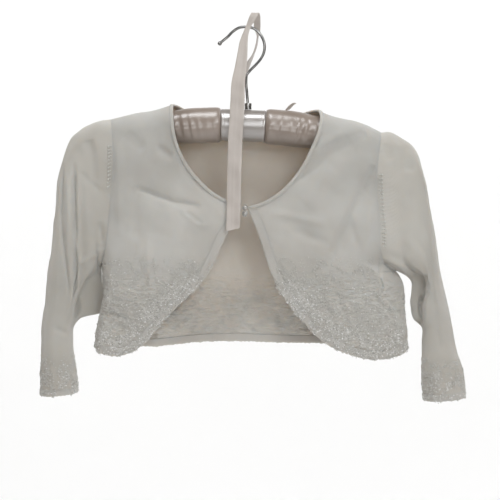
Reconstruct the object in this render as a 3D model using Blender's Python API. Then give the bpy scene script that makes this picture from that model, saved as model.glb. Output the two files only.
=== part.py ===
"""A child's cropped knitted cardigan, hanging on a padded satin hanger.

Frame: metres, +Z up. The origin is the inside top of the hanger's hook, where a rail carries it.
+X runs to the right as the open front is seen, and the front faces -Y. Left and right in the names
are the left and right of that view. Sizes below are in millimetres.

Cloth places are given on the front or back as (x, drop line): the drop line is the height Z where
the cloth hangs, and goes on round the padded arm as the distance along the cloth above its middle.
"""

import math

import bpy
import numpy as np

MM = 0.001

# Cloth
WALL = 1.4                 # fine knit, with its stitches
GAP = 0.3                  # between pieces at a seam
PAD_CLEARANCE = 1.1        # cloth to the padded arm
COLLAR_LIFT = 3.4          # how far the neck ends of the shoulder seams stand off the arm
COLLAR_SPREAD = 16.0
BAND = 9.5                 # folded band along fronts and hem
BINDING = 4.2              # rolled binding round the neck
BINDING_HALF = 1.6         # half its thickness
BINDING_RISE = 0.1         # its middle above the cloth's outer face
BAND_PROUD = 0.5           # the doubled band stands this far out of the panel
BAND_THICK = 2.6

# Hanger
WIRE = 1.5                 # radius of the hook's wire
HOOK_BALL = 2.4
BAND_RADIUS = 17.0         # smooth satin band round the middle of the hanger
BAND_LEFT = -28.0
BAND_RIGHT = 19.6
BAND_EDGE = 0.8            # rounding of the band's edges
ARM_STATIONS = (0, 0.02, 0.06, 0.13, 0.27, 0.42, 0.57, 0.72, 0.86, 1)   # shares of an arm's length
ARM_DRAWN_IN = 1.6         # the arm next to the band, under and over its radius
ARM_PROUD = 0.4
ARM_END_TURNS = (22, 42, 60, 76, 88)   # degrees round the arm's end
FERRULE_RADIUS = 3.8
FERRULE_X = 1.2
RIBBON = 1.0               # thickness of the ribbon's wall

# Padded arms: place along X, height of the middle line, radius
PAD_LINE = (
    (-179.0, -131.0, 12.5),
    (-155.0, -118.0, 14.8),
    (-125.0, -110.5, 16.0),
    (-100.0, -107.5, 17.0),
    (-72.0, -105.2, 18.2),
    (-40.0, -103.2, 19.2),
    (0.0, -103.8, 19.3),
    (40.0, -106.3, 19.0),
    (68.0, -110.6, 18.2),
    (92.0, -114.5, 17.3),
    (111.0, -118.0, 16.3),
    (139.0, -127.0, 15.0),
    (165.0, -138.0, 12.5),
)

# How far the front hangs out from the arm's front, and the back from its rear: height, front, back
SWELL = (
    (-110.0, 0.0, 0.0),
    (-180.0, 1.2, 1.0),
    (-260.0, 3.2, 0.5),
    (-350.0, 4.0, -2.0),
)

# Armhole and side edge, from the shoulder down: x, height. The row named as underarm ends the armhole.
EDGE_LEFT = (
    (-145.7, -85.0),
    (-143.4, -110.0),
    (-142.4, -139.0),
    (-144.8, -175.0),
    (-147.4, -205.0),
    (-149.5, -224.0),
    (-152.0, -240.0),
    (-157.0, -253.0),
    (-156.0, -271.0),
    (-157.0, -295.0),
    (-159.5, -309.0),
    (-162.0, -322.0),
    (-165.3, -341.0),
)
EDGE_RIGHT = (
    (144.1, -95.0),
    (141.5, -122.0),
    (138.5, -152.0),
    (139.3, -182.0),
    (142.0, -212.0),
    (142.8, -235.0),
    (147.0, -251.0),
    (163.0, -262.0),
    (168.5, -271.0),
    (170.6, -284.0),
    (172.3, -300.0),
    (174.0, -317.0),
    (175.0, -342.0),
)
# Where the armhole starts to turn under the arm, and where it ends: height, height, depth of the side seam
UNDERARM = {"left": (-222.0, -253.0, 1.0), "right": (-228.0, -262.0, 6.0)}
UNDERARM_FLAT = 1.5        # height over which the armhole's lowest part lies on the side seam
UNDERARM_EASE = 1.6        # more room at the seam where three walls meet under the arm
# Width over which the front turns round to the side seam: height, left side, right side
TURN_FRONT = (
    (-250.0, 14.0, 22.0),
    (-285.0, 10.0, 22.0),
    (-305.0, 9.0, 16.0),
    (-322.0, 8.0, 9.0),
    (-342.0, 8.0, 5.0),
)
# The same for the back: height, left side, right side
TURN_BACK = (
    (-225.0, 12.0, 9.0),
    (-262.0, 24.0, 9.0),
    (-300.0, 26.0, 9.0),
    (-342.0, 14.0, 9.0),
)
# How straight that turn is: 0 is round, 1 is a flat slope with a ridge at each end
SHARPNESS = {
    "front": {"left": 0.15, "right": 0.75},
    "back": {"left": 0.7, "right": 0.15},
}

# Neckline of each front, from the shoulder to the fastening: x, height
NECK_LEFT = (
    (-79.0, -82.0),
    (-78.0, -92.0),
    (-76.7, -108.0),
    (-72.3, -126.0),
    (-64.9, -142.0),
    (-51.5, -160.0),
    (-36.7, -174.0),
    (-20.0, -184.0),
    (-4.0, -190.7),
)
NECK_RIGHT = (
    (75.5, -89.0),
    (77.4, -97.0),
    (75.2, -108.5),
    (67.9, -127.2),
    (59.0, -145.2),
    (47.2, -161.7),
    (31.9, -176.4),
    (16.5, -185.4),
    (0.2, -190.7),
)
# Neckline of the back, left to right: x, height
NECK_BACK = (
    (-79.0, -82.0),
    (-68.0, -85.5),
    (-56.0, -91.0),
    (-38.0, -101.0),
    (0.0, -109.0),
    (36.0, -103.0),
    (56.0, -91.5),
    (66.0, -88.5),
    (75.5, -89.0),
)

# Free edge of each front, from the fastening round to the side seam: x, height
FRONT_LEFT = (
    (-4.0, -190.7),
    (-15.0, -209.0),
    (-26.0, -230.0),
    (-34.5, -250.0),
    (-45.5, -268.0),
    (-60.0, -283.5),
    (-75.0, -297.0),
    (-88.5, -311.0),
    (-100.5, -326.0),
    (-113.0, -339.5),
    (-126.0, -347.5),
    (-138.0, -350.0),
    (-150.0, -349.5),
    (-160.0, -345.5),
    (-165.3, -341.0),
)
FRONT_RIGHT = (
    (0.2, -190.7),
    (9.5, -214.0),
    (17.0, -235.0),
    (24.0, -257.0),
    (33.5, -279.0),
    (45.5, -296.5),
    (58.0, -311.5),
    (71.0, -325.0),
    (84.5, -336.5),
    (100.0, -345.0),
    (119.0, -351.3),
    (138.0, -354.0),
    (156.0, -352.3),
    (168.0, -347.5),
    (175.0, -342.0),
)
# Which row above is the corner where the front edge becomes the hem
CORNER_ROW = 4
HEM_BACK = (
    (-165.3, -341.0),
    (-130.0, -343.5),
    (-101.0, -344.5),
    (-77.0, -342.5),
    (-53.0, -340.0),
    (-13.0, -339.0),
    (41.0, -340.5),
    (82.0, -341.5),
    (130.0, -343.5),
    (175.0, -342.0),
)

# Sleeve sections, from the shoulder to the cuff. Each has its outer edge, the fold where its front
# layer turns back, the inner edge of its rear layer, and the depth of the front and of the rear.
# Recess is how far the rear layer is set back inward of the fold: 0 for a plain tube, 1 for a pouch.
SLEEVE_COLUMNS = (
    "outer_x", "outer_z", "fold_x", "fold_z", "inner_x", "inner_z", "inner_y", "recess", "front", "rear",
)
SLEEVE_LEFT = (
    (-160.5, -99.5, -156.5, -247.0, -159.0, -257.5, 3.0, 0.10, 17.8, 17.8),
    (-176.0, -107.0, -159.5, -252.5, -158.0, -267.0, 6.0, 0.35, 17.2, 17.2),
    (-188.5, -117.5, -163.0, -258.5, -155.5, -278.0, 9.0, 0.65, 16.8, 16.8),
    (-196.0, -133.0, -167.0, -264.5, -153.5, -288.0, 11.0, 0.90, 16.0, 17.0),
    (-200.5, -152.5, -171.5, -270.0, -153.0, -296.0, 11.5, 1.00, 15.5, 17.0),
    (-204.2, -177.0, -175.6, -276.6, -154.0, -302.0, 11.5, 1.00, 15.0, 17.0),
    (-207.1, -202.0, -179.4, -284.0, -157.0, -306.0, 11.0, 1.00, 14.5, 17.0),
    (-210.0, -227.0, -182.7, -291.6, -164.0, -308.5, 10.0, 1.00, 14.5, 17.0),
    (-213.4, -252.0, -184.9, -299.5, -174.0, -310.5, 8.0, 0.95, 14.5, 17.0),
    (-216.8, -277.0, -186.2, -308.0, -182.5, -314.0, 5.0, 0.70, 14.5, 17.0),
    (-219.7, -300.0, -187.2, -319.0, -187.5, -321.5, 2.0, 0.25, 15.0, 17.0),
    (-221.9, -322.0, -188.4, -333.0, -188.6, -333.5, 0.0, 0.0, 16.5, 17.5),
    (-223.6, -348.0, -188.0, -351.0, -188.2, -351.0, 0.0, 0.0, 18.0, 18.5),
    (-224.4, -372.0, -185.4, -371.5, -185.6, -371.5, 0.0, 0.0, 19.5, 20.0),
    (-224.3, -387.5, -183.8, -384.5, -184.0, -384.5, 0.0, 0.0, 20.5, 21.0),
)
SLEEVE_RIGHT = (
    (157.0, -111.0, 158.0, -252.5, 168.0, -264.5, 6.0, 0.10, 17.8, 17.8),
    (169.0, -118.0, 166.0, -255.0, 172.5, -266.5, 6.5, 0.35, 17.2, 17.2),
    (179.0, -126.5, 174.0, -257.0, 176.0, -269.0, 7.0, 0.65, 16.8, 16.8),
    (185.0, -138.0, 180.5, -259.0, 178.5, -273.0, 7.5, 0.90, 16.0, 16.5),
    (189.3, -154.0, 186.3, -262.0, 179.2, -278.0, 7.5, 1.00, 15.5, 16.0),
    (193.6, -175.0, 190.6, -266.5, 179.0, -284.0, 7.5, 1.00, 15.0, 16.0),
    (198.0, -198.0, 192.8, -272.5, 178.2, -290.5, 7.5, 1.00, 14.5, 16.0),
    (202.4, -224.5, 192.8, -280.5, 177.2, -298.0, 7.5, 1.00, 14.5, 16.0),
    (206.9, -247.3, 191.0, -289.8, 177.8, -306.0, 7.0, 1.00, 14.5, 16.0),
    (211.4, -271.2, 189.0, -299.6, 180.8, -314.5, 6.0, 0.90, 14.5, 16.0),
    (215.5, -290.5, 188.0, -310.0, 185.8, -319.5, 3.0, 0.45, 15.0, 16.5),
    (220.0, -312.0, 188.6, -321.5, 188.8, -323.0, 1.0, 0.10, 16.0, 17.0),
    (225.5, -338.0, 188.9, -338.5, 189.1, -339.0, 0.0, 0.0, 18.0, 18.5),
    (231.5, -363.0, 189.4, -363.0, 189.6, -363.5, 0.0, 0.0, 19.5, 20.0),
    (236.4, -388.5, 190.6, -393.0, 190.8, -393.0, 0.0, 0.0, 20.5, 21.0),
)
# How far each cuff band goes beyond the last section: outer edge x, z and inner edge x, z
CUFF_LEFT = (-224.0, -395.5, -183.0, -392.0)
CUFF_RIGHT = (237.6, -397.0, 191.4, -401.0)

# Soft folds. Each is a line on the front or back with its depth (plus is a trough, minus a ridge)
# and its half width: x, z at the start, x, z at the end, depth, half width
FOLDS_FRONT = (
    (-119.0, -172.0, -62.0, -190.0, 2.2, 9.0),
    (-112.0, -196.0, -68.0, -214.0, -1.4, 12.0),
    (-94.0, -128.0, -79.0, -140.0, 1.6, 6.0),
    (-72.0, -142.0, -26.0, -188.0, 1.2, 5.0),
    (-153.0, -306.0, -128.0, -321.0, 1.6, 4.0),
    (111.0, -122.0, 52.0, -164.0, 2.6, 9.0),
    (92.0, -150.0, 60.0, -185.0, -1.6, 12.0),
    (132.0, -160.0, 96.0, -250.0, 2.0, 12.0),
    (118.0, -165.0, 86.0, -235.0, -1.6, 10.0),
    (36.0, -206.0, 92.0, -192.0, 1.2, 8.0),
    (-188.0, -140.0, -187.0, -312.0, 4.5, 4.5),
    (-195.5, -150.0, -192.5, -318.0, -2.5, 5.0),
    (-172.0, -130.0, -168.0, -175.0, 2.4, 7.0),
    (171.0, -140.0, 166.0, -160.0, 2.4, 7.0),
    (150.0, -240.0, 182.0, -252.0, -1.6, 7.0),
    (196.0, -290.0, 206.0, -360.0, 1.0, 6.0),
)
FOLDS_BACK = (
    (-110.0, -150.0, -60.0, -215.0, 2.0, 12.0),
    (105.0, -150.0, 62.0, -220.0, 2.0, 12.0),
    (-30.0, -150.0, -22.0, -320.0, -1.6, 16.0),
    (40.0, -170.0, 52.0, -330.0, 1.8, 14.0),
    (-100.0, -240.0, -112.0, -335.0, 1.6, 12.0),
    (120.0, -240.0, 132.0, -335.0, 1.6, 12.0),
    (-186.0, -150.0, -190.0, -320.0, 2.5, 7.0),
    (196.0, -170.0, 200.0, -330.0, 2.5, 7.0),
)

# Distances down the armhole and side seam that get a row of the mesh
ARMHOLE_STEPS = (0, 7.5, 15, 22.5, 30, 43, 58, 75, 93, 111, 128, 143, 155, 165, 174, 182)
SIDE_STEPS = (7, 16, 28, 42, 57, 73, 89)
# Rows of a front that end on its neckline; the rest end on its front edge
NECK_ROWS = 11
# Columns of a front from its side edge, as shares of its width, and those that the back has too
FRONT_COLUMNS = (0, 0.03, 0.07, 0.12, 0.18, 0.25, 0.33, 0.42, 0.53, 0.65, 0.77, 0.89, 1)
BACK_COLUMNS = (0, 1, 2, 3, 5, 7, 9, 11, 12)
BACK_NECK_COLUMNS = 12
# Where round the front of a sleeve its fold lies, as a share from the outer to the inner edge
FOLD_SHARE = ARMHOLE_STEPS[12] / ARMHOLE_STEPS[-1]
SLEEVE_RINGS = 18
# Rounds that even out the inside of a front's mesh
RELAX_ROUNDS = 600
# Points along a front's neck and free edge lines, and how many at the end the side seam replaces
NECK_POINTS = 60
EDGE_POINTS = 160
HEM_END = 10
# Points of those lines that give way to the corner where neck and front edge meet
NECK_CUT = 6
EDGE_CUT = 8

# Middle line of the hook's wire, from the ferrule to the tip: x, height
HOOK = (
    (0.9, -79.5),
    (-0.2, -67.0),
    (-0.9, -56.0),
    (-0.2, -49.5),
    (3.2, -45.0),
    (9.2, -39.0),
    (15.0, -32.0),
    (18.4, -24.5),
    (18.4, -15.0),
    (14.0, -6.0),
    (7.5, -0.2),
    (0.0, 1.5),
    (-7.5, 1.0),
    (-14.4, -2.8),
    (-20.8, -9.0),
    (-28.0, -15.0),
)

# Ribbon strips: x, y, z of the middle line, width, and turn of the width about Z in degrees
RIBBON_DRAPED = (
    (-14.6, -30.6, -214.5, 14.5, 0.0),
    (-14.2, -29.6, -195.0, 14.6, -2.0),
    (-13.8, -27.0, -170.0, 14.8, -3.0),
    (-13.0, -23.0, -140.0, 15.0, -2.0),
    (-12.2, -20.8, -115.0, 15.2, 0.0),
    (-10.8, -20.6, -96.0, 15.4, 0.0),
    (-10.0, -18.2, -78.0, 15.2, 2.0),
    (-9.2, -13.0, -58.0, 14.4, 4.0),
    (-6.4, -8.6, -40.0, 12.5, 6.0),
    (-4.6, -6.0, -25.0, 10.5, 6.0),
    (-3.4, -4.4, -14.0, 8.6, 4.0),
    (-0.8, -3.2, -4.0, 6.0, 0.0),
    (2.2, -2.9, 3.0, 6.0, 4.0),
    (5.2, -2.8, 9.0, 8.0, 8.0),
    (7.6, -2.0, 14.0, 8.6, 10.0),
    (9.0, 0.3, 16.4, 8.6, 12.0),
    (10.2, 2.6, 13.6, 8.4, 14.0),
    (10.8, 3.6, 7.0, 8.0, 20.0),
    (11.2, 5.4, 0.0, 8.6, 45.0),
    (11.6, 8.4, -7.0, 11.0, 80.0),
    (11.0, 9.4, -13.0, 12.0, 84.0),
    (9.4, 9.8, -20.0, 12.5, 82.0),
    (6.4, 10.0, -28.0, 13.0, 78.0),
    (2.0, 10.0, -36.0, 13.5, 70.0),
    (-2.6, 9.8, -46.0, 14.0, 60.0),
    (-5.4, 9.0, -62.0, 14.5, 40.0),
)
RIBBON_END = (
    (43.0, 5.0, -87.2, 5.0, 10.0),
    (45.6, 4.0, -84.0, 5.0, 10.0),
    (49.0, 3.0, -80.6, 4.6, 10.0),
    (51.0, 2.4, -79.4, 4.2, 10.0),
)

# Colour, roughness and metallic value of each finish
FINISHES = {
    "ivory knit": ((0.66, 0.65, 0.60), 0.85, 0.0),
    "knit edging": ((0.62, 0.61, 0.56), 0.85, 0.0),
    "blush satin": ((0.62, 0.52, 0.47), 0.35, 0.0),
    "blush ribbon": ((0.66, 0.57, 0.51), 0.45, 0.0),
    "chromed steel": ((0.55, 0.55, 0.55), 0.18, 1.0),
    "glass beads": ((0.80, 0.80, 0.78), 0.10, 0.0),
}


def clear_scene():
    for item in list(bpy.data.objects):
        bpy.data.objects.remove(item)


def finish(name):
    """The Principled material of this name, made once."""
    found = bpy.data.materials.get(name)
    if found:
        return found
    colour, roughness, metallic = FINISHES[name]
    made = bpy.data.materials.new(name)
    made.use_nodes = True
    shader = made.node_tree.nodes["Principled BSDF"]
    shader.inputs["Base Color"].default_value = (*colour, 1.0)
    shader.inputs["Roughness"].default_value = roughness
    shader.inputs["Metallic"].default_value = metallic
    return made


def spline(knots, values, at):
    """Smooth curve through values at rising knots, read at each place in at."""
    knots = np.asarray(knots, float)
    values = np.asarray(values, float)
    at = np.asarray(at, float)
    slopes = np.empty_like(values)
    gaps = np.diff(knots).reshape(-1, *[1] * (values.ndim - 1))
    steps = np.diff(values, axis=0) / gaps
    slopes[1:-1] = (steps[:-1] * gaps[1:] + steps[1:] * gaps[:-1]) / (gaps[1:] + gaps[:-1])
    slopes[0] = steps[0]
    slopes[-1] = steps[-1]
    i = np.clip(np.searchsorted(knots, at, side="right") - 1, 0, len(knots) - 2)
    span = knots[i + 1] - knots[i]
    t = np.clip((at - knots[i]) / span, 0.0, 1.0)
    shape = t.shape + (1,) * (values.ndim - 1)
    t = t.reshape(shape)
    span = span.reshape(shape)
    a = (2 * t**3 - 3 * t**2 + 1) * values[i]
    b = (t**3 - 2 * t**2 + t) * span * slopes[i]
    c = (3 * t**2 - 2 * t**3) * values[i + 1]
    d = (t**3 - t**2) * span * slopes[i + 1]
    return a + b + c + d


def lengths(points):
    """Distance along the line at each of its points."""
    steps = np.linalg.norm(np.diff(points, axis=0), axis=1)
    return np.concatenate([[0.0], np.cumsum(steps)])


def along(points, shares):
    """Points at these shares of the length of a smooth curve through the points given."""
    points = np.asarray(points, float)
    knots = lengths(points)
    fine = spline(knots, points, np.linspace(0, knots[-1], 400))
    reach = lengths(fine)
    wanted = np.asarray(shares) * reach[-1]
    return np.stack([np.interp(wanted, reach, fine[:, k]) for k in range(fine.shape[1])], axis=1)


def by_height(table, column, z):
    """A column of a table whose rows go down, read at heights z."""
    rows = np.asarray(table, float)[::-1]
    heights = np.clip(z, rows[0, 0], rows[-1, 0])
    return spline(rows[:, 0], rows[:, column], heights)


def pad_centre(x):
    rows = np.asarray(PAD_LINE)
    return spline(rows[:, 0], rows[:, 1], np.clip(x, rows[0, 0], rows[-1, 0]))


def pad_radius(x):
    rows = np.asarray(PAD_LINE)
    return spline(rows[:, 0], rows[:, 2], np.clip(x, rows[0, 0], rows[-1, 0]))


def cloth_radius(x):
    """Outer face of the cloth round the padded arm, measured upright where the arm slopes."""
    step = 1.0
    slope = (pad_centre(x + step) - pad_centre(x - step)) / (2 * step)
    lift = np.zeros_like(x)
    for neck in (NECK_LEFT[0][0], NECK_RIGHT[0][0]):
        lift = lift + COLLAR_LIFT * np.exp(-(((x - neck) / COLLAR_SPREAD) ** 2))
    return pad_radius(x) * np.sqrt(1 + slope**2) + PAD_CLEARANCE + WALL + lift


def drop_line(x, z):
    """Drop line of a place given by its height: the same below the arm's middle, longer over the arm."""
    x = np.asarray(x, float)
    above = np.clip((z - pad_centre(x)) / cloth_radius(x), 0.0, 1.0)
    return np.where(above > 0, pad_centre(x) + cloth_radius(x) * np.arcsin(above), z)


def on_cloth(table):
    """A table of x and height as points of x and drop line."""
    rows = np.asarray(table, float)
    return np.stack([rows[:, 0], drop_line(rows[:, 0], rows[:, 1])], axis=1)


def top_line(x):
    """Drop line of the top of the arm, where the shoulder seams run."""
    x = np.asarray(x, float)
    return pad_centre(x) + cloth_radius(x) * math.pi / 2


def fold_depth(folds, x, z):
    """Depth of the soft folds at x, z: each fades at its ends and to its sides."""
    depth = np.zeros_like(x)
    for x0, z0, x1, z1, deep, half in folds:
        run = np.array([x1 - x0, z1 - z0])
        size = np.linalg.norm(run)
        run = run / size
        forward = ((x - x0) * run[0] + (z - z0) * run[1]) / size
        aside = (x - x0) * run[1] - (z - z0) * run[0]
        fade = np.clip(1.15 - np.abs(2 * forward - 1) ** 3, 0, 1) * (np.abs(2 * forward - 1) < 1.05)
        depth = depth + deep * fade * np.exp(-((aside / half) ** 2))
    return depth


def side_turn(x, q, face, side):
    """How far across its depth the cloth is at x, from 0 at the side edge to 1 on the flat."""
    table = EDGE_LEFT if side == "left" else EDGE_RIGHT
    rows = on_cloth(table)[::-1]
    edge = spline(rows[:, 1], rows[:, 0], np.clip(q, rows[0, 1], rows[-1, 1]))
    inside = (x - edge) if side == "left" else (edge - x)
    width = by_height(TURN_FRONT if face == "front" else TURN_BACK, 1 if side == "left" else 2, q)
    sharp = SHARPNESS[face][side]
    share = np.clip(inside / width, 0.0, 1.0)
    return (1 - sharp) * np.sqrt(1 - (1 - share) ** 2) + sharp * share


def armhole_turn(q, side):
    """1 where the armhole edge lies on the front or back, 0 from the underarm down."""
    start, end, _ = UNDERARM[side]
    share = np.clip((start - q) / (start - end - UNDERARM_FLAT), 0.0, 1.0)
    return np.sqrt(1 - share**2)


def drape(points, face, edge=None):
    """Places of x and drop line on the front or back, as points in space. Edge marks the side edges."""
    x = points[..., 0]
    q = points[..., 1]
    radius = cloth_radius(x)
    centre = pad_centre(x)
    angle = np.clip((q - centre) / radius, 0.0, math.pi / 2)
    z = np.where(q > centre, centre + radius * np.sin(angle), q)
    swell = by_height(SWELL, 1 if face == "front" else 2, q)
    depth = radius * np.cos(angle) + swell
    folds = fold_depth(FOLDS_FRONT if face == "front" else FOLDS_BACK, x, z)
    depth = depth - folds * np.cos(angle) ** 2
    seam = np.zeros_like(x)
    for side, here in (("left", x < 0), ("right", x >= 0)):
        open_edge = armhole_turn(q, side)
        across = side_turn(x, q, face, side)
        if edge is not None:
            across = np.where(edge, 0.0, across)
        turn = open_edge + (1 - open_edge) * across
        seam = np.where(here, UNDERARM[side][2] * (1 - turn), seam)
        depth = np.where(here, depth * turn, depth)
    facing = -1.0 if face == "front" else 1.0
    return np.stack([x, facing * depth + seam, z], axis=-1)


def edge_mask(grid, columns):
    """Marks these columns of a grid as side edges."""
    mask = np.zeros(grid.shape[:2], bool)
    for column in columns:
        mask[:, column] = True
    return mask


def cloth_normals(line, face, ends):
    """Outward normals of the cloth along a line of places; at ends on a side seam they point aside."""
    step = 0.5
    aside = drape(line + [step, 0.0], face) - drape(line - [step, 0.0], face)
    down = drape(line + [0.0, step], face) - drape(line - [0.0, step], face)
    normal = np.cross(aside, down)
    normal = normal / np.linalg.norm(normal, axis=1)[:, None]
    facing = -1.0 if face == "front" else 1.0
    normal = normal * np.where(np.sum(normal * [0.0, facing, 0.35], axis=1) < 0, -1.0, 1.0)[:, None]
    for end, direction in ends.items():
        normal[end] = (direction, 0.0, 0.0)
    return normal


def coons(top, bottom, left, right, u, v):
    """Grid between four edges, its rows from top to bottom."""
    u = np.asarray(u)[None, :, None]
    v = np.asarray(v)[:, None, None]
    across = (1 - v) * top[None] + v * bottom[None]
    down = (1 - u) * left[:, None] + u * right[:, None]
    corners = (1 - u) * (1 - v) * top[0] + u * (1 - v) * top[-1]
    corners = corners + (1 - u) * v * bottom[0] + u * v * bottom[-1]
    return across + down - corners


def offset(points, width):
    """The line moved to its left side by width, in its own plane."""
    ahead = np.gradient(points, axis=0)
    ahead = ahead / np.linalg.norm(ahead, axis=1)[:, None]
    return points + width * np.stack([-ahead[:, 1], ahead[:, 0]], axis=1)


def side_rows(side):
    """Places down the armhole and side seam, one for each row of the mesh, and their shares."""
    edge = on_cloth(EDGE_LEFT if side == "left" else EDGE_RIGHT)
    underarm = UNDERARM[side][1]
    fine = along(edge, np.linspace(0, 1, 400))
    split = int(np.argmin(np.abs(fine[:, 1] - underarm)))
    hole = np.asarray(ARMHOLE_STEPS, float) / ARMHOLE_STEPS[-1]
    seam = np.asarray(SIDE_STEPS, float) / SIDE_STEPS[-1]
    bottom = fine[split:].copy()
    keep = bottom[:, 1] >= bottom[-1, 1] + BAND
    rows = np.concatenate([along(fine[: split + 1 : 4], hole), along(bottom[keep][::2], seam)])
    steps = np.concatenate([ARMHOLE_STEPS, np.asarray(SIDE_STEPS) + ARMHOLE_STEPS[-1]])
    return rows, steps / steps[-1]


def shoulder_columns(side):
    """Places along the shoulder seam from the armhole to the neck, on top of the arm."""
    edge = on_cloth(EDGE_LEFT if side == "left" else EDGE_RIGHT)[0]
    neck = (NECK_LEFT if side == "left" else NECK_RIGHT)[0]
    inward = 1.0 if side == "left" else -1.0
    x = edge[0] + (neck[0] - inward * BINDING - edge[0]) * np.asarray(FRONT_COLUMNS)
    return np.stack([x, top_line(x)], axis=1)


def relax(grid, u, v):
    """Evens out the inside of a grid while its edges stay, keeping the spacing of u and v."""
    grid = grid.copy()
    wide = np.linalg.norm(grid[:, -1] - grid[:, 0], axis=1).mean()
    high = np.linalg.norm(grid[-1] - grid[0], axis=1).mean()
    weights = []
    for steps in (np.diff(u) * wide, np.diff(v) * high):
        total = steps[1:] + steps[:-1]
        weights += [1 / (steps[:-1] * total), 1 / (steps[1:] * total)]
    before, after = (w[None, :, None] for w in weights[:2])
    above, below = (w[:, None, None] for w in weights[2:])
    for _ in range(RELAX_ROUNDS):
        moved = before * grid[1:-1, :-2] + after * grid[1:-1, 2:]
        moved = moved + above * grid[:-2, 1:-1] + below * grid[2:, 1:-1]
        grid[1:-1, 1:-1] = moved / (before + after + above + below)
    return grid


def corner(point, first, first_width, second, second_width):
    """Where two edges that leave a corner meet again once each has moved inward by its width."""
    first = first / np.linalg.norm(first)
    second = second / np.linalg.norm(second)
    sine = abs(first[0] * second[1] - first[1] * second[0])
    return point + (first * second_width + second * first_width) / sine


def front_lines(side):
    """Edges of a front panel inside its binding and band, and the free edges outside them."""
    turn = 1.0 if side == "left" else -1.0
    neck = on_cloth(NECK_LEFT if side == "left" else NECK_RIGHT)
    neck[0, 1] = top_line(neck[0, 0])
    neck = along(neck, np.linspace(0, 1, NECK_POINTS))
    edge = on_cloth(FRONT_LEFT if side == "left" else FRONT_RIGHT)
    fine = along(edge, np.linspace(0, 1, EDGE_POINTS))
    inner_neck = offset(neck, -turn * BINDING)
    inner_edge = offset(fine, -turn * BAND)
    meet = corner(neck[-1], neck[-NECK_CUT] - neck[-1], BINDING, fine[NECK_CUT - 1] - fine[0], BAND)
    inner_neck = np.concatenate([inner_neck[:-NECK_CUT], [meet]])
    inner_edge = np.concatenate([[meet], inner_edge[EDGE_CUT:]])
    inner_neck[0] = shoulder_columns(side)[-1]
    return neck, inner_neck, fine, inner_edge


def front_grid(side):
    """Panel grid as places on the cloth, with the lines of its neck, front edge and hem."""
    left, v = side_rows(side)
    neck, inner_neck, edge, inner_edge = front_lines(side)
    turned = on_cloth(FRONT_LEFT if side == "left" else FRONT_RIGHT)[CORNER_ROW]
    split = int(np.argmin(np.linalg.norm(edge - turned, axis=1)))
    inner_split = int(np.argmin(np.linalg.norm(inner_edge - edge[split], axis=1)))
    neck_share = v[: NECK_ROWS + 1] / v[NECK_ROWS]
    edge_share = (v[NECK_ROWS:] - v[NECK_ROWS]) / (1 - v[NECK_ROWS])
    right = along(inner_neck, neck_share)
    right = np.concatenate([right, along(inner_edge[: inner_split + 1], edge_share)[1:]])
    u = np.asarray(FRONT_COLUMNS, float)
    bottom = along(np.concatenate([left[-1:], inner_edge[inner_split:-HEM_END][::-1]]), u)
    grid = relax(coons(shoulder_columns(side), bottom, left, right, u, v), u, v)
    return {
        "grid": grid,
        "neck": (right[: NECK_ROWS + 1], along(neck, neck_share)),
        "edge": (right[NECK_ROWS:], along(edge[: split + 1], edge_share)),
        "hem": (bottom, along(edge[split:][::-1], u)),
    }


def back_grid():
    """Back panel as places on the cloth, with the lines of its neck and hem."""
    left, v = side_rows("left")
    right, _ = side_rows("right")
    neck = on_cloth(NECK_BACK)
    neck[[0, -1], 1] = top_line(neck[[0, -1], 0])
    neck = along(neck, np.linspace(0, 1, 80))
    inner = offset(neck, -BINDING)
    first = shoulder_columns("left")[list(BACK_COLUMNS)]
    last = shoulder_columns("right")[list(BACK_COLUMNS)][::-1]
    inner = np.concatenate([first[-1:], inner[5:-5], last[:1]])
    share = np.linspace(0, 1, BACK_NECK_COLUMNS + 1)
    top = np.concatenate([first, along(inner, share)[1:-1], last])
    reach = lengths(top)
    u = reach / reach[-1]
    hem = np.asarray(HEM_BACK, float)
    raised = hem + [0.0, BAND]
    bottom = along(raised, u)
    bottom[0] = left[-1]
    bottom[-1] = right[-1]
    grid = coons(top, bottom, left, right, u, v)
    low = len(first) - 1
    return {
        "grid": grid,
        "neck": (grid[0, low : low + BACK_NECK_COLUMNS + 1], along(neck, share)),
        "hem": (bottom, along(hem, u)),
    }


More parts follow.
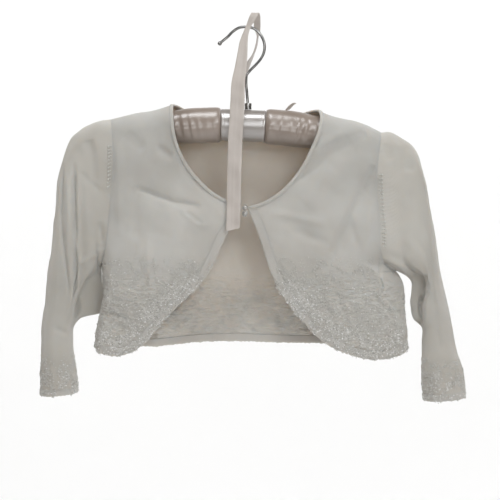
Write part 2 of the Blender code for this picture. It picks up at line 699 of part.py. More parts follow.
def half_ring(row, part, shares):
    """Half of a sleeve section: over its front from the outer to the inner edge, or behind it."""
    outer = np.array([row["outer_x"], row["outer_z"]])
    fold = np.array([row["fold_x"], row["fold_z"]])
    inner = np.array([row["inner_x"], row["inner_z"]])
    recess = row["recess"]
    depth = row["front"] if part == "front" else row["rear"]
    facing = -1.0 if part == "front" else 1.0
    shares = np.asarray(shares)
    length = np.linalg.norm(inner - outer)
    cap = min(depth, length / 2)
    arc = math.pi / 4 * (cap + depth)
    run = shares * (2 * arc + length - 2 * cap)
    near = np.clip(run / arc, 0, 1) * math.pi / 2
    far = np.clip((run - arc - length + 2 * cap) / arc, 0, 1) * math.pi / 2
    straight = np.clip(run - arc, 0, length - 2 * cap)
    reach = cap * (1 - np.cos(near)) + straight + cap * np.sin(far)
    bulge = np.sin(near) * np.cos(far)
    place = outer + reach[:, None] / length * (inner - outer)
    y = facing * depth * bulge + row["inner_y"] * shares**3
    plain = np.stack([place[:, 0], y, place[:, 1]], axis=1)
    if part == "back" or recess == 0:
        return plain
    length = np.linalg.norm(fold - outer)
    controls = []
    for turn in np.linspace(0, math.pi / 2, 5):
        reach = min(depth, 0.35 * length) * (1 - math.cos(turn)) / length
        controls.append((0.2 * turn / (math.pi / 2), reach, -depth * math.sin(turn)))
    controls += [
        (0.40, 0.50, -depth),
        (0.60, 0.73, -depth),
        (0.72, 0.88, -0.96 * depth),
        (0.79, 0.97, -0.68 * depth),
        (FOLD_SHARE, 1.0, 0.35 * row["inner_y"]),
    ]
    knots = [control[0] for control in controls] + [0.92, 1.0]
    points = []
    for _, reach, y in controls:
        place = outer + reach * (fold - outer)
        points.append((place[0], y, place[1]))
    place = (fold + inner) / 2
    points.append((place[0], 0.7 * row["inner_y"], place[1]))
    points.append((inner[0], row["inner_y"], inner[1]))
    return (1 - recess) * plain + recess * spline(knots, points, shares)


def sleeve_grid(side, hole_front, hole_back):
    """Sleeve as closed rings from the armhole to the cuff band, and the line of the cuff's end."""
    table = SLEEVE_LEFT if side == "left" else SLEEVE_RIGHT
    rows = [dict(zip(SLEEVE_COLUMNS, values)) for values in table]
    shares = np.asarray(ARMHOLE_STEPS, float) / ARMHOLE_STEPS[-1]
    rings = [np.concatenate([hole_front, hole_back[::-1][1:-1]])]
    for row in rows:
        front = half_ring(row, "front", shares)
        back = half_ring(row, "back", shares)
        front[:, 1] += fold_depth(FOLDS_FRONT, front[:, 0], front[:, 2])
        back[:, 1] -= fold_depth(FOLDS_BACK, back[:, 0], back[:, 2])
        rings.append(np.concatenate([front, back[::-1][1:-1]]))
    rings = np.stack(rings)
    knots = lengths(rings.mean(axis=1))
    fine = spline(knots, rings, np.linspace(0, knots[-1], SLEEVE_RINGS + 1))
    end = dict(zip(SLEEVE_COLUMNS, table[-1]))
    cuff = CUFF_LEFT if side == "left" else CUFF_RIGHT
    end.update(outer_x=cuff[0], outer_z=cuff[1], fold_x=cuff[2], fold_z=cuff[3])
    end.update(inner_x=cuff[2], inner_z=cuff[3])
    last = np.concatenate(
        [half_ring(end, "front", shares), half_ring(end, "back", shares)[::-1][1:-1]]
    )
    return fine, last


def key(point):
    return tuple(np.round(point, 4))


def quads(rows, columns, closed):
    """Corner indices of a grid's cells."""
    across = columns if closed else columns - 1
    cells = []
    for i in range(rows - 1):
        for j in range(across):
            k = (j + 1) % columns
            cells.append((i * columns + j, i * columns + k, (i + 1) * columns + k, (i + 1) * columns + j))
    return cells


def facing_out(grid, closed, outward):
    """Cells of a grid wound so that they face out."""
    rows, columns = grid.shape[:2]
    cells = quads(rows, columns, closed)
    return cells if outward else [cell[::-1] for cell in cells]


def own_normals(sheet):
    """Unit normal of one grid at each of its places."""
    flat = sheet["grid"].reshape(-1, 3)
    total = np.zeros_like(flat)
    for cell in facing_out(sheet["grid"], sheet["closed"], sheet["outward"]):
        a, b, c, d = (flat[i] for i in cell)
        normal = np.cross(c - a, d - b)
        total[list(cell)] += normal / np.linalg.norm(normal)
    return total / np.linalg.norm(total, axis=1)[:, None]


def shared_normals(sheets):
    """Outward normals at the points of all cloth grids together, the same on both sides of a seam."""
    own = [own_normals(sheet) for sheet in sheets]
    total = {}
    for sheet, normals in zip(sheets, own):
        for point, normal in zip(sheet["grid"].reshape(-1, 3), normals):
            total[key(point)] = total.get(key(point), 0) + normal
    for sheet in sheets:
        found = np.array([total[key(point)] for point in sheet["grid"].reshape(-1, 3)])
        found = found / np.linalg.norm(found, axis=1)[:, None]
        sheet["normals"] = found.reshape(sheet["grid"].shape)


def underarm_ease(places, closed):
    """Room that each row of a panel's side, or each place of a sleeve's first ring, gives up at its seam."""
    lowest = len(ARMHOLE_STEPS) - 1
    away = np.abs(np.arange(places) - lowest)
    ease = np.clip(1 - away / 4, 0, 1) * UNDERARM_EASE
    return ease if closed else np.where(np.arange(places) > lowest, ease * 0.5, ease)


def trim(grid, guide, closed, sides):
    """The grid with its open edges drawn in the way the guide runs, to leave the gaps of its seams."""
    grid = grid.copy()
    rows, columns = grid.shape[:2]
    end = np.full(columns, GAP / 2)
    first = end + underarm_ease(columns, True) if closed else end
    for edge, inside, width in ((0, 1, first), (-1, -2, end)):
        step = guide[inside] - guide[edge]
        grid[edge] += step * (width / np.linalg.norm(step, axis=1))[:, None]
    if not closed:
        for edge, inside in ((0, 1), (-1, -2)):
            width = np.full(rows, GAP / 2)
            if edge in sides:
                width = width + underarm_ease(rows, False)
            step = guide[:, inside] - guide[:, edge]
            grid[:, edge] += step * (width / np.linalg.norm(step, axis=1))[:, None]
    return grid


def add_mesh(name, points, faces, material):
    mesh = bpy.data.meshes.new(name)
    mesh.from_pydata([tuple(point * MM) for point in points], [], faces)
    mesh.materials.append(finish(material))
    mesh.shade_smooth()
    mesh.set_sharp_from_angle(angle=math.radians(50))
    thing = bpy.data.objects.new(name, mesh)
    bpy.context.scene.collection.objects.link(thing)
    return thing


def add_wall(sheet):
    """A cloth grid as a closed thin wall, its outer face on the grid."""
    closed = sheet["closed"]
    grid = sheet["grid"]
    outer = trim(grid, grid, closed, sheet["sides"])
    inner = trim(grid - sheet["normals"] * WALL, grid, closed, sheet["sides"])
    rows, columns = outer.shape[:2]
    count = rows * columns
    front = facing_out(outer, closed, sheet["outward"])
    faces = list(front)
    faces += [tuple(i + count for i in cell[::-1]) for cell in front]
    sides = {}
    for cell in front:
        for a, b in zip(cell, cell[1:] + cell[:1]):
            sides[(a, b)] = True
    for a, b in sides:
        if (b, a) not in sides:
            faces.append((b, a, a + count, b + count))
    points = np.concatenate([outer.reshape(-1, 3), inner.reshape(-1, 3)])
    return add_mesh(sheet["name"], points, faces, sheet["material"])


def add_sweep(name, sections, closed, material):
    """Sections joined along a path: each section is a closed loop. An open path gets end faces."""
    sections = np.asarray(sections)
    rows, columns = sections.shape[:2]
    cells = quads(rows, columns, True)
    if closed:
        last = (rows - 1) * columns
        for j in range(columns):
            k = (j + 1) % columns
            cells.append((last + j, last + k, k, j))
    flat = sections.reshape(-1, 3)
    if not closed:
        cells.append(tuple(range(columns))[::-1])
        cells.append(tuple((rows - 1) * columns + j for j in range(columns)))
    volume = 0.0
    for cell in cells:
        for i in range(1, len(cell) - 1):
            volume += np.dot(flat[cell[0]], np.cross(flat[cell[i]], flat[cell[i + 1]]))
    if volume < 0:
        cells = [cell[::-1] for cell in cells]
    return add_mesh(name, flat, cells, material)


def band_sections(inner, outer, normal):
    """Sections of a doubled band whose inner line lies at the panel's edge."""
    across = outer - inner
    width = np.linalg.norm(across, axis=1)[:, None]
    across = across / width
    proud = BAND_PROUD
    under = BAND_PROUD - BAND_THICK
    middle = (proud + under) / 2
    profile = (
        (GAP, 0.0, 0.1),
        (1.4, 0.0, proud),
        (-1.2, 1.0, proud),
        (-0.1, 1.0, middle + 0.5),
        (-0.1, 1.0, middle - 0.5),
        (-1.2, 1.0, under),
        (1.4, 0.0, under),
        (GAP, 0.0, -WALL - 0.2),
    )
    loops = [inner + across * (start + share * width) + normal * rise for start, share, rise in profile]
    return np.stack(loops, axis=1)


def binding_sections(inner, outer, normal):
    """Sections of the rolled binding: an oval between the panel's edge and the neck line."""
    across = outer - inner
    width = np.linalg.norm(across, axis=1)[:, None]
    across = across / width
    middle = inner + across * (GAP / 2 + width / 2) + normal * BINDING_RISE
    loops = []
    for k in range(8):
        angle = 2 * math.pi * (k + 0.5) / 8
        aside = (width / 2 - GAP / 2) * 1.02 * math.cos(angle)
        loops.append(middle + across * aside + normal * BINDING_HALF * math.sin(angle))
    return np.stack(loops, axis=1)


def shorten(line, start, end):
    """The line with its ends drawn in by these lengths."""
    line = line.copy()
    for edge, inside, width in ((0, 1, start), (-1, -2, end)):
        step = line[inside] - line[edge]
        line[edge] = line[edge] + step * width / np.linalg.norm(step)
    return line


def add_front(side):
    """Grid and edge strips of one front."""
    lines = front_grid(side)
    sheet = {
        "name": f"front_{side}",
        "grid": drape(lines["grid"], "front", edge_mask(lines["grid"], (0,))),
        "closed": False,
        "sides": (0,),
        "outward": side == "right",
        "material": "ivory knit",
    }
    path = [np.concatenate([a, b[-2::-1]]) for a, b in zip(lines["edge"], lines["hem"])]
    return sheet, lines["neck"], path


def add_strip(name, lines, face, sections_of, seams, draw_in):
    """A strip between two lines of the cloth. Seams gives the way out at each end on a side seam."""
    mask = np.zeros(len(lines[0]), bool)
    for end in seams:
        mask[end] = True
    inner, outer = (drape(line, face, mask) for line in lines)
    normal = cloth_normals((lines[0] + lines[1]) / 2, face, seams)
    inner = shorten(inner, *draw_in)
    outer = shorten(outer, *draw_in)
    return add_sweep(name, sections_of(inner, outer, normal), False, "knit edging")


def add_cuff(side, start, end):
    """Cuff band: a closed doubled ring at the end of the sleeve."""
    across = end - start
    width = np.linalg.norm(across, axis=1)[:, None]
    across = across / width
    ahead = np.roll(start, -1, axis=0) - np.roll(start, 1, axis=0)
    normal = np.cross(ahead, across)
    normal = normal / np.linalg.norm(normal, axis=1)[:, None]
    if float(np.sum(normal * (start - start.mean(axis=0)))) < 0:
        normal = -normal
    proud = BAND_PROUD
    under = BAND_PROUD - BAND_THICK
    profile = (
        (GAP, 0.0, 0.1),
        (1.2, 0.0, proud),
        (-1.2, 1.0, proud),
        (-0.1, 1.0, 0.5 * (proud + under)),
        (-1.2, 1.0, under),
        (GAP, 0.0, -WALL - 0.1),
    )
    loops = [start + across * (shift + share * width) + normal * rise for shift, share, rise in profile]
    return add_sweep(f"cuff_{side}", np.stack(loops, axis=1), True, "knit edging")


def make_cloth():
    """All knitted pieces."""
    fronts = {side: add_front(side) for side in ("left", "right")}
    lines = back_grid()
    back = {
        "name": "back",
        "grid": drape(lines["grid"], "back", edge_mask(lines["grid"], (0, -1))),
        "closed": False,
        "sides": (0, -1),
        "outward": True,
        "material": "ivory knit",
    }
    sheets = [fronts["left"][0], fronts["right"][0], back]
    holes = len(ARMHOLE_STEPS)
    cuffs = {}
    for side, column in (("left", 0), ("right", -1)):
        hole_front = fronts[side][0]["grid"][:holes, 0]
        hole_back = back["grid"][:holes, column]
        grid, cuffs[side] = sleeve_grid(side, hole_front, hole_back)
        sleeve = {
            "name": f"sleeve_{side}",
            "grid": grid,
            "closed": True,
            "sides": (),
            "outward": side == "right",
            "material": "ivory knit",
        }
        sheets.append(sleeve)
        cuffs[side] = (grid[-1], cuffs[side])
    shared_normals(sheets)
    for sheet in sheets:
        add_wall(sheet)
    seam = GAP / 2
    for side, out in (("left", -1.0), ("right", 1.0)):
        _, neck, path = fronts[side]
        add_strip(f"neck_binding_{side}", neck, "front", binding_sections, {}, (seam, 1.2))
        add_strip(f"front_band_{side}", path, "front", band_sections, {-1: out}, (0.6, seam))
        add_cuff(side, *cuffs[side])
    add_strip("neck_binding_back", lines["neck"], "back", binding_sections, {}, (seam, seam))
    add_strip("hem_band_back", lines["hem"], "back", band_sections, {0: -1.0, -1: 1.0}, (seam, seam))


def tube_sections(path, radii, sides):
    """Round sections along a path in space, without twist."""
    path = np.asarray(path, float)
    ahead = np.gradient(path, axis=0)
    ahead = ahead / np.linalg.norm(ahead, axis=1)[:, None]
    up = np.cross(ahead, [0.0, 1.0, 0.0])
    up = up / np.linalg.norm(up, axis=1)[:, None]
    aside = np.cross(up, ahead)
    rings = []
    for k in range(sides):
        angle = 2 * math.pi * k / sides
        rings.append(path + (up * math.cos(angle) + aside * math.sin(angle)) * np.asarray(radii)[:, None])
    return np.stack(rings, axis=1)


def make_arm(side):
    """A padded arm: full, drooping, rounded at its end and drawn in at the middle band."""
    rows = np.asarray(PAD_LINE)
    if side == "left":
        start, end, ball = BAND_LEFT - GAP, rows[0, 0], -1.0
    else:
        start, end, ball = BAND_RIGHT + GAP, rows[-1, 0], 1.0
    x = start + (end - start) * np.array(ARM_STATIONS)
    z = pad_centre(x)
    radius = pad_radius(x)
    radius[0] = BAND_RADIUS - ARM_DRAWN_IN
    radius[1] = BAND_RADIUS + ARM_PROUD
    slope = np.array([ball, (z[-1] - z[-2]) / abs(x[-1] - x[-2])])
    slope = slope / np.linalg.norm(slope)
    turns = np.radians(ARM_END_TURNS)
    cap_x = x[-1] + slope[0] * radius[-1] * np.sin(turns)
    cap_z = z[-1] + slope[1] * radius[-1] * np.sin(turns)
    path_x = np.concatenate([x, cap_x])
    path = np.stack([path_x, np.zeros_like(path_x), np.concatenate([z, cap_z])], axis=1)
    radii = np.concatenate([radius, radius[-1] * np.cos(turns)])
    return add_sweep(f"hanger_arm_{side}", tube_sections(path, radii, 20), False, "blush satin")


def make_middle():
    """The smooth satin band round the middle, and the ferrule that holds the hook."""
    inner = np.linspace(BAND_LEFT + 1.2, BAND_RIGHT - 1.2, 4)
    x = np.concatenate([[BAND_LEFT], inner, [BAND_RIGHT]])
    radii = np.full(len(x), BAND_RADIUS)
    radii[[0, -1]] -= BAND_EDGE
    path = np.stack([x, np.zeros_like(x), pad_centre(x)], axis=1)
    add_sweep("hanger_middle_band", tube_sections(path, radii, 28), False, "blush satin")
    foot = float(pad_centre(np.array([FERRULE_X]))[0]) + BAND_RADIUS + GAP
    top = HOOK[0][1] - GAP
    z = np.array([foot, foot + 0.6, top - 1.4, top])
    radii = np.array([FERRULE_RADIUS - 0.4, FERRULE_RADIUS, FERRULE_RADIUS, FERRULE_RADIUS - 1.2])
    path = np.stack([np.full(4, FERRULE_X), np.zeros(4), z], axis=1)
    add_sweep("hanger_ferrule", tube_sections(path, radii, 16), False, "chromed steel")


def make_hook():
    """The wire hook with its ball tip, one bent wire from the ferrule up."""
    points = along([(x, 0.0, z) for x, z in HOOK], np.linspace(0, 1, 46))
    radii = np.full(46, WIRE)
    step = points[-1] - points[-2]
    step = step / np.linalg.norm(step)
    turns = np.radians([-38.0, -10.0, 20.0, 50.0, 78.0])
    middle = points[-1] + step * HOOK_BALL * 0.6
    ball = middle + np.outer(np.sin(turns) * HOOK_BALL, step)
    path = np.concatenate([points[:-1], ball])
    radii = np.concatenate([radii[:-1], HOOK_BALL * np.cos(turns)])
    return add_sweep("hanger_hook", tube_sections(path, radii, 8), False, "chromed steel")


def make_ribbon(name, table, count):
    """A ribbon strip: its width turns about Z as the table says."""
    rows = np.asarray(table, float)
    knots = lengths(rows[:, :3])
    rows = spline(knots, rows, np.linspace(0, knots[-1], count))
    turn = np.radians(rows[:, 4])
    aside = np.stack([np.cos(turn), np.sin(turn), np.zeros(count)], axis=1)
    ahead = np.gradient(rows[:, :3], axis=0)
    normal = np.cross(ahead, aside)
    normal = normal / np.linalg.norm(normal, axis=1)[:, None]
    half = rows[:, 3:4] / 2
    crown = 0.35
    loops = []
    for share, rise in ((-1, 0), (-0.5, crown), (0, 0.1), (0.5, crown), (1, 0)):
        loops.append(rows[:, :3] + aside * half * share + normal * (rise + RIBBON / 2))
    for share, rise in ((1, 0), (0.5, crown), (0, 0.1), (-0.5, crown), (-1, 0)):
        loops.append(rows[:, :3] + aside * half * share + normal * (rise - RIBBON / 2))
    return add_sweep(name, np.stack(loops, axis=1), False, "blush ribbon")


def make_fastening():
    """The small beaded clasp where the fronts meet: two round beads on an oval loop plate."""
    centre = np.array([-1.95, -23.9, -194.5])
    heights = np.array([-6.4, -6.0, -4.6, -3.2, -2.0, -0.9, 0.0, 0.9, 2.0, 3.2, 4.6, 6.0, 6.4])
    swell = np.array([0.5, 1.3, 2.1, 2.3, 2.1, 1.5, 1.2, 1.5, 2.1, 2.3, 2.1, 1.3, 0.5])
    sections = []
    for height, radius in zip(heights, swell):
        ring = []
        for k in range(10):
            angle = 2 * math.pi * k / 10
            ring.append(centre + [radius * 0.93 * math.cos(angle), radius * 1.1 * math.sin(angle), height])
        sections.append(ring)
    return add_sweep("fastening", sections, False, "glass beads")


def main():
    clear_scene()
    make_cloth()
    make_arm("left")
    make_arm("right")
    make_middle()
    make_hook()
    make_ribbon("ribbon", RIBBON_DRAPED, 44)
    make_ribbon("ribbon_end", RIBBON_END, 5)
    make_fastening()


main()
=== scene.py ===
"""Looks for a child's cropped knitted cardigan on a padded satin hanger.

Metres, +Z up, the same frame as the solids; the tables below are in millimetres. Cloth places are
(x, drop line): the drop line is the height where the cloth hangs, and goes on over the padded arm.
"""

import functools
import math

import bmesh
import bpy
import numpy as np
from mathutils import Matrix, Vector
from mathutils.kdtree import KDTree


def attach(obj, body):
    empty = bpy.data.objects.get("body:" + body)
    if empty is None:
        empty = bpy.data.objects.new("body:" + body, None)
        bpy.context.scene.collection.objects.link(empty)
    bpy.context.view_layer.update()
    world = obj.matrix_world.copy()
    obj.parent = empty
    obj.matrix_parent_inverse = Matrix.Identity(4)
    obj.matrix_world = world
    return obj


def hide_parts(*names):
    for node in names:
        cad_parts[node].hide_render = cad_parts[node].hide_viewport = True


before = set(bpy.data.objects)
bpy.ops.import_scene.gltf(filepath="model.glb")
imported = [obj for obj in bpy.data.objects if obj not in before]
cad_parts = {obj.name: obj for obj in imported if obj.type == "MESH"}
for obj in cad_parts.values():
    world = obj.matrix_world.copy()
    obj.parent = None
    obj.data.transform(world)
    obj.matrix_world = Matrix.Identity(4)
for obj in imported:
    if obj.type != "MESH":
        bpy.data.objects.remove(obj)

MM = 0.001
TINY = 1e-9

# Cloth, as the solids have it: walls, gaps and bands, and how finely its lines are read
WALL = 1.4
RIM_ANGLE = math.radians(62.0)
GAP = 0.3
PAD_CLEARANCE = 1.1
COLLAR_LIFT = 3.4
COLLAR_SPREAD = 16.0
BAND = 9.5
BINDING = 4.2
BINDING_RISE = 0.1
LINE_POINTS = 400
NECK_POINTS = 60
NECK_CUT = 6
EDGE_POINTS = 160
EDGE_CUT = 8
CORNER_STEP = 5
BACK_NECK_POINTS = 80
BACK_NECK_CUT = 5

# Fineness of the shown cloth: cells for each cell of the solids
ROWS_FINE = 8
BACK_FINE = 6
RING_FINE = 8
SLEEVE_LENGTH_CELLS = 120
UNDERARM_COLUMNS = 12.0
UNDERARM_ROWS = 16.0
UNDERARM_ROUNDS = 120
SEAM_ROUNDS = 6
END_ROUNDING = 0.4
END_RINGS = ((0.8, 0.75), (0.35, 1.0))

# Random waves, how fast the hold of an edge fades, the ends of a soft fold, and the way out of the cloth
WAVES = 9
WAVE_LENGTHS = (0.7, 1.6)
WAVE_PHASE = 6.28
EDGE_HOLD = 6
FOLD_FADE = 1.15
FOLD_END = 1.05
OUTWARD_RISE = 0.35

# Hanger
WIRE = 1.5
HOOK_BALL = 2.4
HOOK_BALL_SET = 0.6
HOOK_POINTS = 90
BAND_RADIUS = 17.0
BAND_LEFT = -28.0
BAND_RIGHT = 19.6
FERRULE_X = 1.2
FERRULE_RADIUS = 3.8
FERRULE_RIMS = (0.9, 0.7)
FERRULE_BEVEL = 0.3
GROOVE_FOOT = 1.6
GROOVE = 0.8
GROOVE_SHARE = 0.93
RIBBON = 1.0

# Camera of the photograph: what it looks at, how far off, how high, and the width of view at that distance
CAMERA_TARGET = (0.00324, 0.0, -0.2376)
CAMERA_DISTANCE = 1.45
CAMERA_RISE = 3.0
VIEW_WIDTH = 0.54
SENSOR = 36.0

# The padded arms: x, height of their middle, radius
PAD_LINE = (
    (-179, -131, 12.5), (-155, -118, 14.8), (-125, -110.5, 16), (-100, -107.5, 17), (-72, -105.2, 18.2),
    (-40, -103.2, 19.2), (0, -103.8, 19.3), (40, -106.3, 19), (68, -110.6, 18.2), (92, -114.5, 17.3),
    (111, -118, 16.3), (139, -127, 15), (165, -138, 12.5),
)

# How far the cloth stands off below the arms: drop line, front, back
SWELL = (
    (-110, 0, 0), (-180, 1.2, 1), (-260, 3.2, 0.5), (-350, 4, -2),
)

# Armhole and side seam, from the shoulder down: x, height
SIDE_EDGE = {
    "left": (
        (-145.7, -85), (-143.4, -110), (-142.4, -139), (-144.8, -175), (-147.4, -205), (-149.5, -224),
        (-152, -240), (-157, -253), (-156, -271), (-157, -295), (-159.5, -309), (-162, -322),
        (-165.3, -341),
    ),
    "right": (
        (144.1, -95), (141.5, -122), (138.5, -152), (139.3, -182), (142, -212), (142.8, -235), (147, -251),
        (163, -262), (168.5, -271), (170.6, -284), (172.3, -300), (174, -317), (175, -342),
    ),
}

# Drop lines between which the armhole's edge turns to the side seam, and how far behind that lies
UNDERARM = {"left": (-222, -253, 1), "right": (-228, -262, 6)}
UNDERARM_FLAT = 1.5

# Width over which the cloth turns in from its side edges: drop line, left, right
TURN = {
    "front": (
        (-250, 14, 22), (-285, 10, 22), (-305, 9, 16), (-322, 8, 9), (-342, 8, 5),
    ),
    "back": (
        (-225, 12, 9), (-262, 24, 9), (-300, 26, 9), (-342, 14, 9),
    ),
}
SHARPNESS = {
    "front": {"left": 0.15, "right": 0.75},
    "back": {"left": 0.7, "right": 0.15},
}

# Outer edges of the neck, of the fronts with their hems, and of the back's hem: x, height
NECK = {
    "left": (
        (-79, -82), (-78, -92), (-76.7, -108), (-72.3, -126), (-64.9, -142), (-51.5, -160), (-36.7, -174),
        (-20, -184), (-4, -190.7),
    ),
    "right": (
        (75.5, -89), (77.4, -97), (75.2, -108.5), (67.9, -127.2), (59, -145.2), (47.2, -161.7),
        (31.9, -176.4), (16.5, -185.4), (0.2, -190.7),
    ),
}
NECK_BACK = (
    (-79, -82), (-68, -85.5), (-56, -91), (-38, -101), (0, -109), (36, -103), (56, -91.5), (66, -88.5),
    (75.5, -89),
)
FRONT_EDGE = {
    "left": (
        (-4, -190.7), (-15, -209), (-26, -230), (-34.5, -250), (-45.5, -268), (-60, -283.5), (-75, -297),
        (-88.5, -311), (-100.5, -326), (-113, -339.5), (-126, -347.5), (-138, -350), (-150, -349.5),
        (-160, -345.5), (-165.3, -341),
    ),
    "right": (
        (0.2, -190.7), (9.5, -214), (17, -235), (24, -257), (33.5, -279), (45.5, -296.5), (58, -311.5),
        (71, -325), (84.5, -336.5), (100, -345), (119, -351.3), (138, -354), (156, -352.3), (168, -347.5),
        (175, -342),
    ),
}
CORNER_ROW = 4
HEM_BACK = (
    (-165.3, -341), (-130, -343.5), (-101, -344.5), (-77, -342.5), (-53, -340), (-13, -339), (41, -340.5),
    (82, -341.5), (130, -343.5), (175, -342),
)

# Sections of the sleeves, from the armhole down to the cuff's band, and the cuff's end
SLEEVE_COLUMNS = (
    "outer_x", "outer_z", "fold_x", "fold_z", "inner_x", "inner_z", "inner_y", "recess", "front", "rear",
)
SLEEVE = {
    "left": (
        (-160.5, -99.5, -156.5, -247, -159, -257.5, 3, 0.1, 17.8, 17.8),
        (-176, -107, -159.5, -252.5, -158, -267, 6, 0.35, 17.2, 17.2),
        (-188.5, -117.5, -163, -258.5, -155.5, -278, 9, 0.65, 16.8, 16.8),
        (-196, -133, -167, -264.5, -153.5, -288, 11, 0.9, 16, 17),
        (-200.5, -152.5, -171.5, -270, -153, -296, 11.5, 1, 15.5, 17),
        (-204.2, -177, -175.6, -276.6, -154, -302, 11.5, 1, 15, 17),
        (-207.1, -202, -179.4, -284, -157, -306, 11, 1, 14.5, 17),
        (-210, -227, -182.7, -291.6, -164, -308.5, 10, 1, 14.5, 17),
        (-213.4, -252, -184.9, -299.5, -174, -310.5, 8, 0.95, 14.5, 17),
        (-216.8, -277, -186.2, -308, -182.5, -314, 5, 0.7, 14.5, 17),
        (-219.7, -300, -187.2, -319, -187.5, -321.5, 2, 0.25, 15, 17),
        (-221.9, -322, -188.4, -333, -188.6, -333.5, 0, 0, 16.5, 17.5),
        (-223.6, -348, -188, -351, -188.2, -351, 0, 0, 18, 18.5),
        (-224.4, -372, -185.4, -371.5, -185.6, -371.5, 0, 0, 19.5, 20),
        (-224.3, -387.5, -183.8, -384.5, -184, -384.5, 0, 0, 20.5, 21),
    ),
    "right": (
        (157, -111, 158, -252.5, 168, -264.5, 6, 0.1, 17.8, 17.8),
        (169, -118, 166, -255, 172.5, -266.5, 6.5, 0.35, 17.2, 17.2),
        (179, -126.5, 174, -257, 176, -269, 7, 0.65, 16.8, 16.8),
        (185, -138, 180.5, -259, 178.5, -273, 7.5, 0.9, 16, 16.5),
        (189.3, -154, 186.3, -262, 179.2, -278, 7.5, 1, 15.5, 16),
        (193.6, -175, 190.6, -266.5, 179, -284, 7.5, 1, 15, 16),
        (198, -198, 192.8, -272.5, 178.2, -290.5, 7.5, 1, 14.5, 16),
        (202.4, -224.5, 192.8, -280.5, 177.2, -298, 7.5, 1, 14.5, 16),
        (206.9, -247.3, 191, -289.8, 177.8, -306, 7, 1, 14.5, 16),
        (211.4, -271.2, 189, -299.6, 180.8, -314.5, 6, 0.9, 14.5, 16),
        (215.5, -290.5, 188, -310, 185.8, -319.5, 3, 0.45, 15, 16.5),
        (220, -312, 188.6, -321.5, 188.8, -323, 1, 0.1, 16, 17),
        (225.5, -338, 188.9, -338.5, 189.1, -339, 0, 0, 18, 18.5),
        (231.5, -363, 189.4, -363, 189.6, -363.5, 0, 0, 19.5, 20),
        (236.4, -388.5, 190.6, -393, 190.8, -393, 0, 0, 20.5, 21),
    ),
}
CUFF = {"left": (-224, -395.5, -183, -392), "right": (237.6, -397, 191.4, -401)}

# Soft folds: x, height, to x, height, depth, half width
FOLDS = {
    "front": (
        (-119, -172, -62, -190, 2.2, 9), (-112, -196, -68, -214, -1.4, 12), (-94, -128, -79, -140, 1.6, 6),
        (-72, -142, -26, -188, 1.2, 5), (-153, -306, -128, -321, 1.6, 4), (111, -122, 52, -164, 2.6, 9),
        (92, -150, 60, -185, -1.6, 12), (132, -160, 96, -250, 2, 12), (118, -165, 86, -235, -1.6, 10),
        (36, -206, 92, -192, 1.2, 8), (-188, -140, -187, -312, 4.5, 4.5),
        (-195.5, -150, -192.5, -318, -2.5, 5), (-172, -130, -168, -175, 2.4, 7),
        (171, -140, 166, -160, 2.4, 7), (150, -240, 182, -252, -1.6, 7), (196, -290, 206, -360, 1, 6),
    ),
    "back": (
        (-110, -150, -60, -215, 2, 12), (105, -150, 62, -220, 2, 12), (-30, -150, -22, -320, -1.6, 16),
        (40, -170, 52, -330, 1.8, 14), (-100, -240, -112, -335, 1.6, 12), (120, -240, 132, -335, 1.6, 12),
        (-186, -150, -190, -320, 2.5, 7), (196, -170, 200, -330, 2.5, 7),
    ),
}

# Rows and columns of the solids' cells
ARMHOLE_STEPS = (0, 7.5, 15, 22.5, 30, 43, 58, 75, 93, 111, 128, 143, 155, 165, 174, 182)
SIDE_STEPS = (7, 16, 28, 42, 57, 73, 89)
NECK_ROWS = 11
FRONT_COLUMNS = (0, 0.03, 0.07, 0.12, 0.18, 0.25, 0.33, 0.42, 0.53, 0.65, 0.77, 0.89, 1)
BACK_COLUMNS = (0, 1, 2, 3, 5, 7, 9, 11, 12)
BACK_NECK_COLUMNS = 12

# A sleeve's front where it is folded under: its rounded outer edge, then share of its width, share of
# the way to the fold and depth, and last how it lies behind the fold
FOLD_ROUND_POINTS = 5
FOLD_ROUND = 0.35
FOLD_ROUND_SHARE = 0.2
FOLD_PATH = ((0.4, 0.5, 1), (0.6, 0.73, 1), (0.72, 0.88, 0.96), (0.79, 0.97, 0.68))
FOLD_SHARE = ARMHOLE_STEPS[12] / ARMHOLE_STEPS[-1]
FOLD_DEPTH = 0.35
UNDER_SHARE = 0.92
UNDER_DEPTH = 0.7
RELAX_ROUNDS = 600
HEM_END = 10

# Middle line of the wire hook: x, height
HOOK = (
    (0.9, -79.5), (-0.2, -67), (-0.9, -56), (-0.2, -49.5), (3.2, -45), (9.2, -39), (15, -32), (18.4, -24.5),
    (18.4, -15), (14, -6), (7.5, -0.2), (0, 1.5), (-7.5, 1), (-14.4, -2.8), (-20.8, -9), (-28, -15),
)

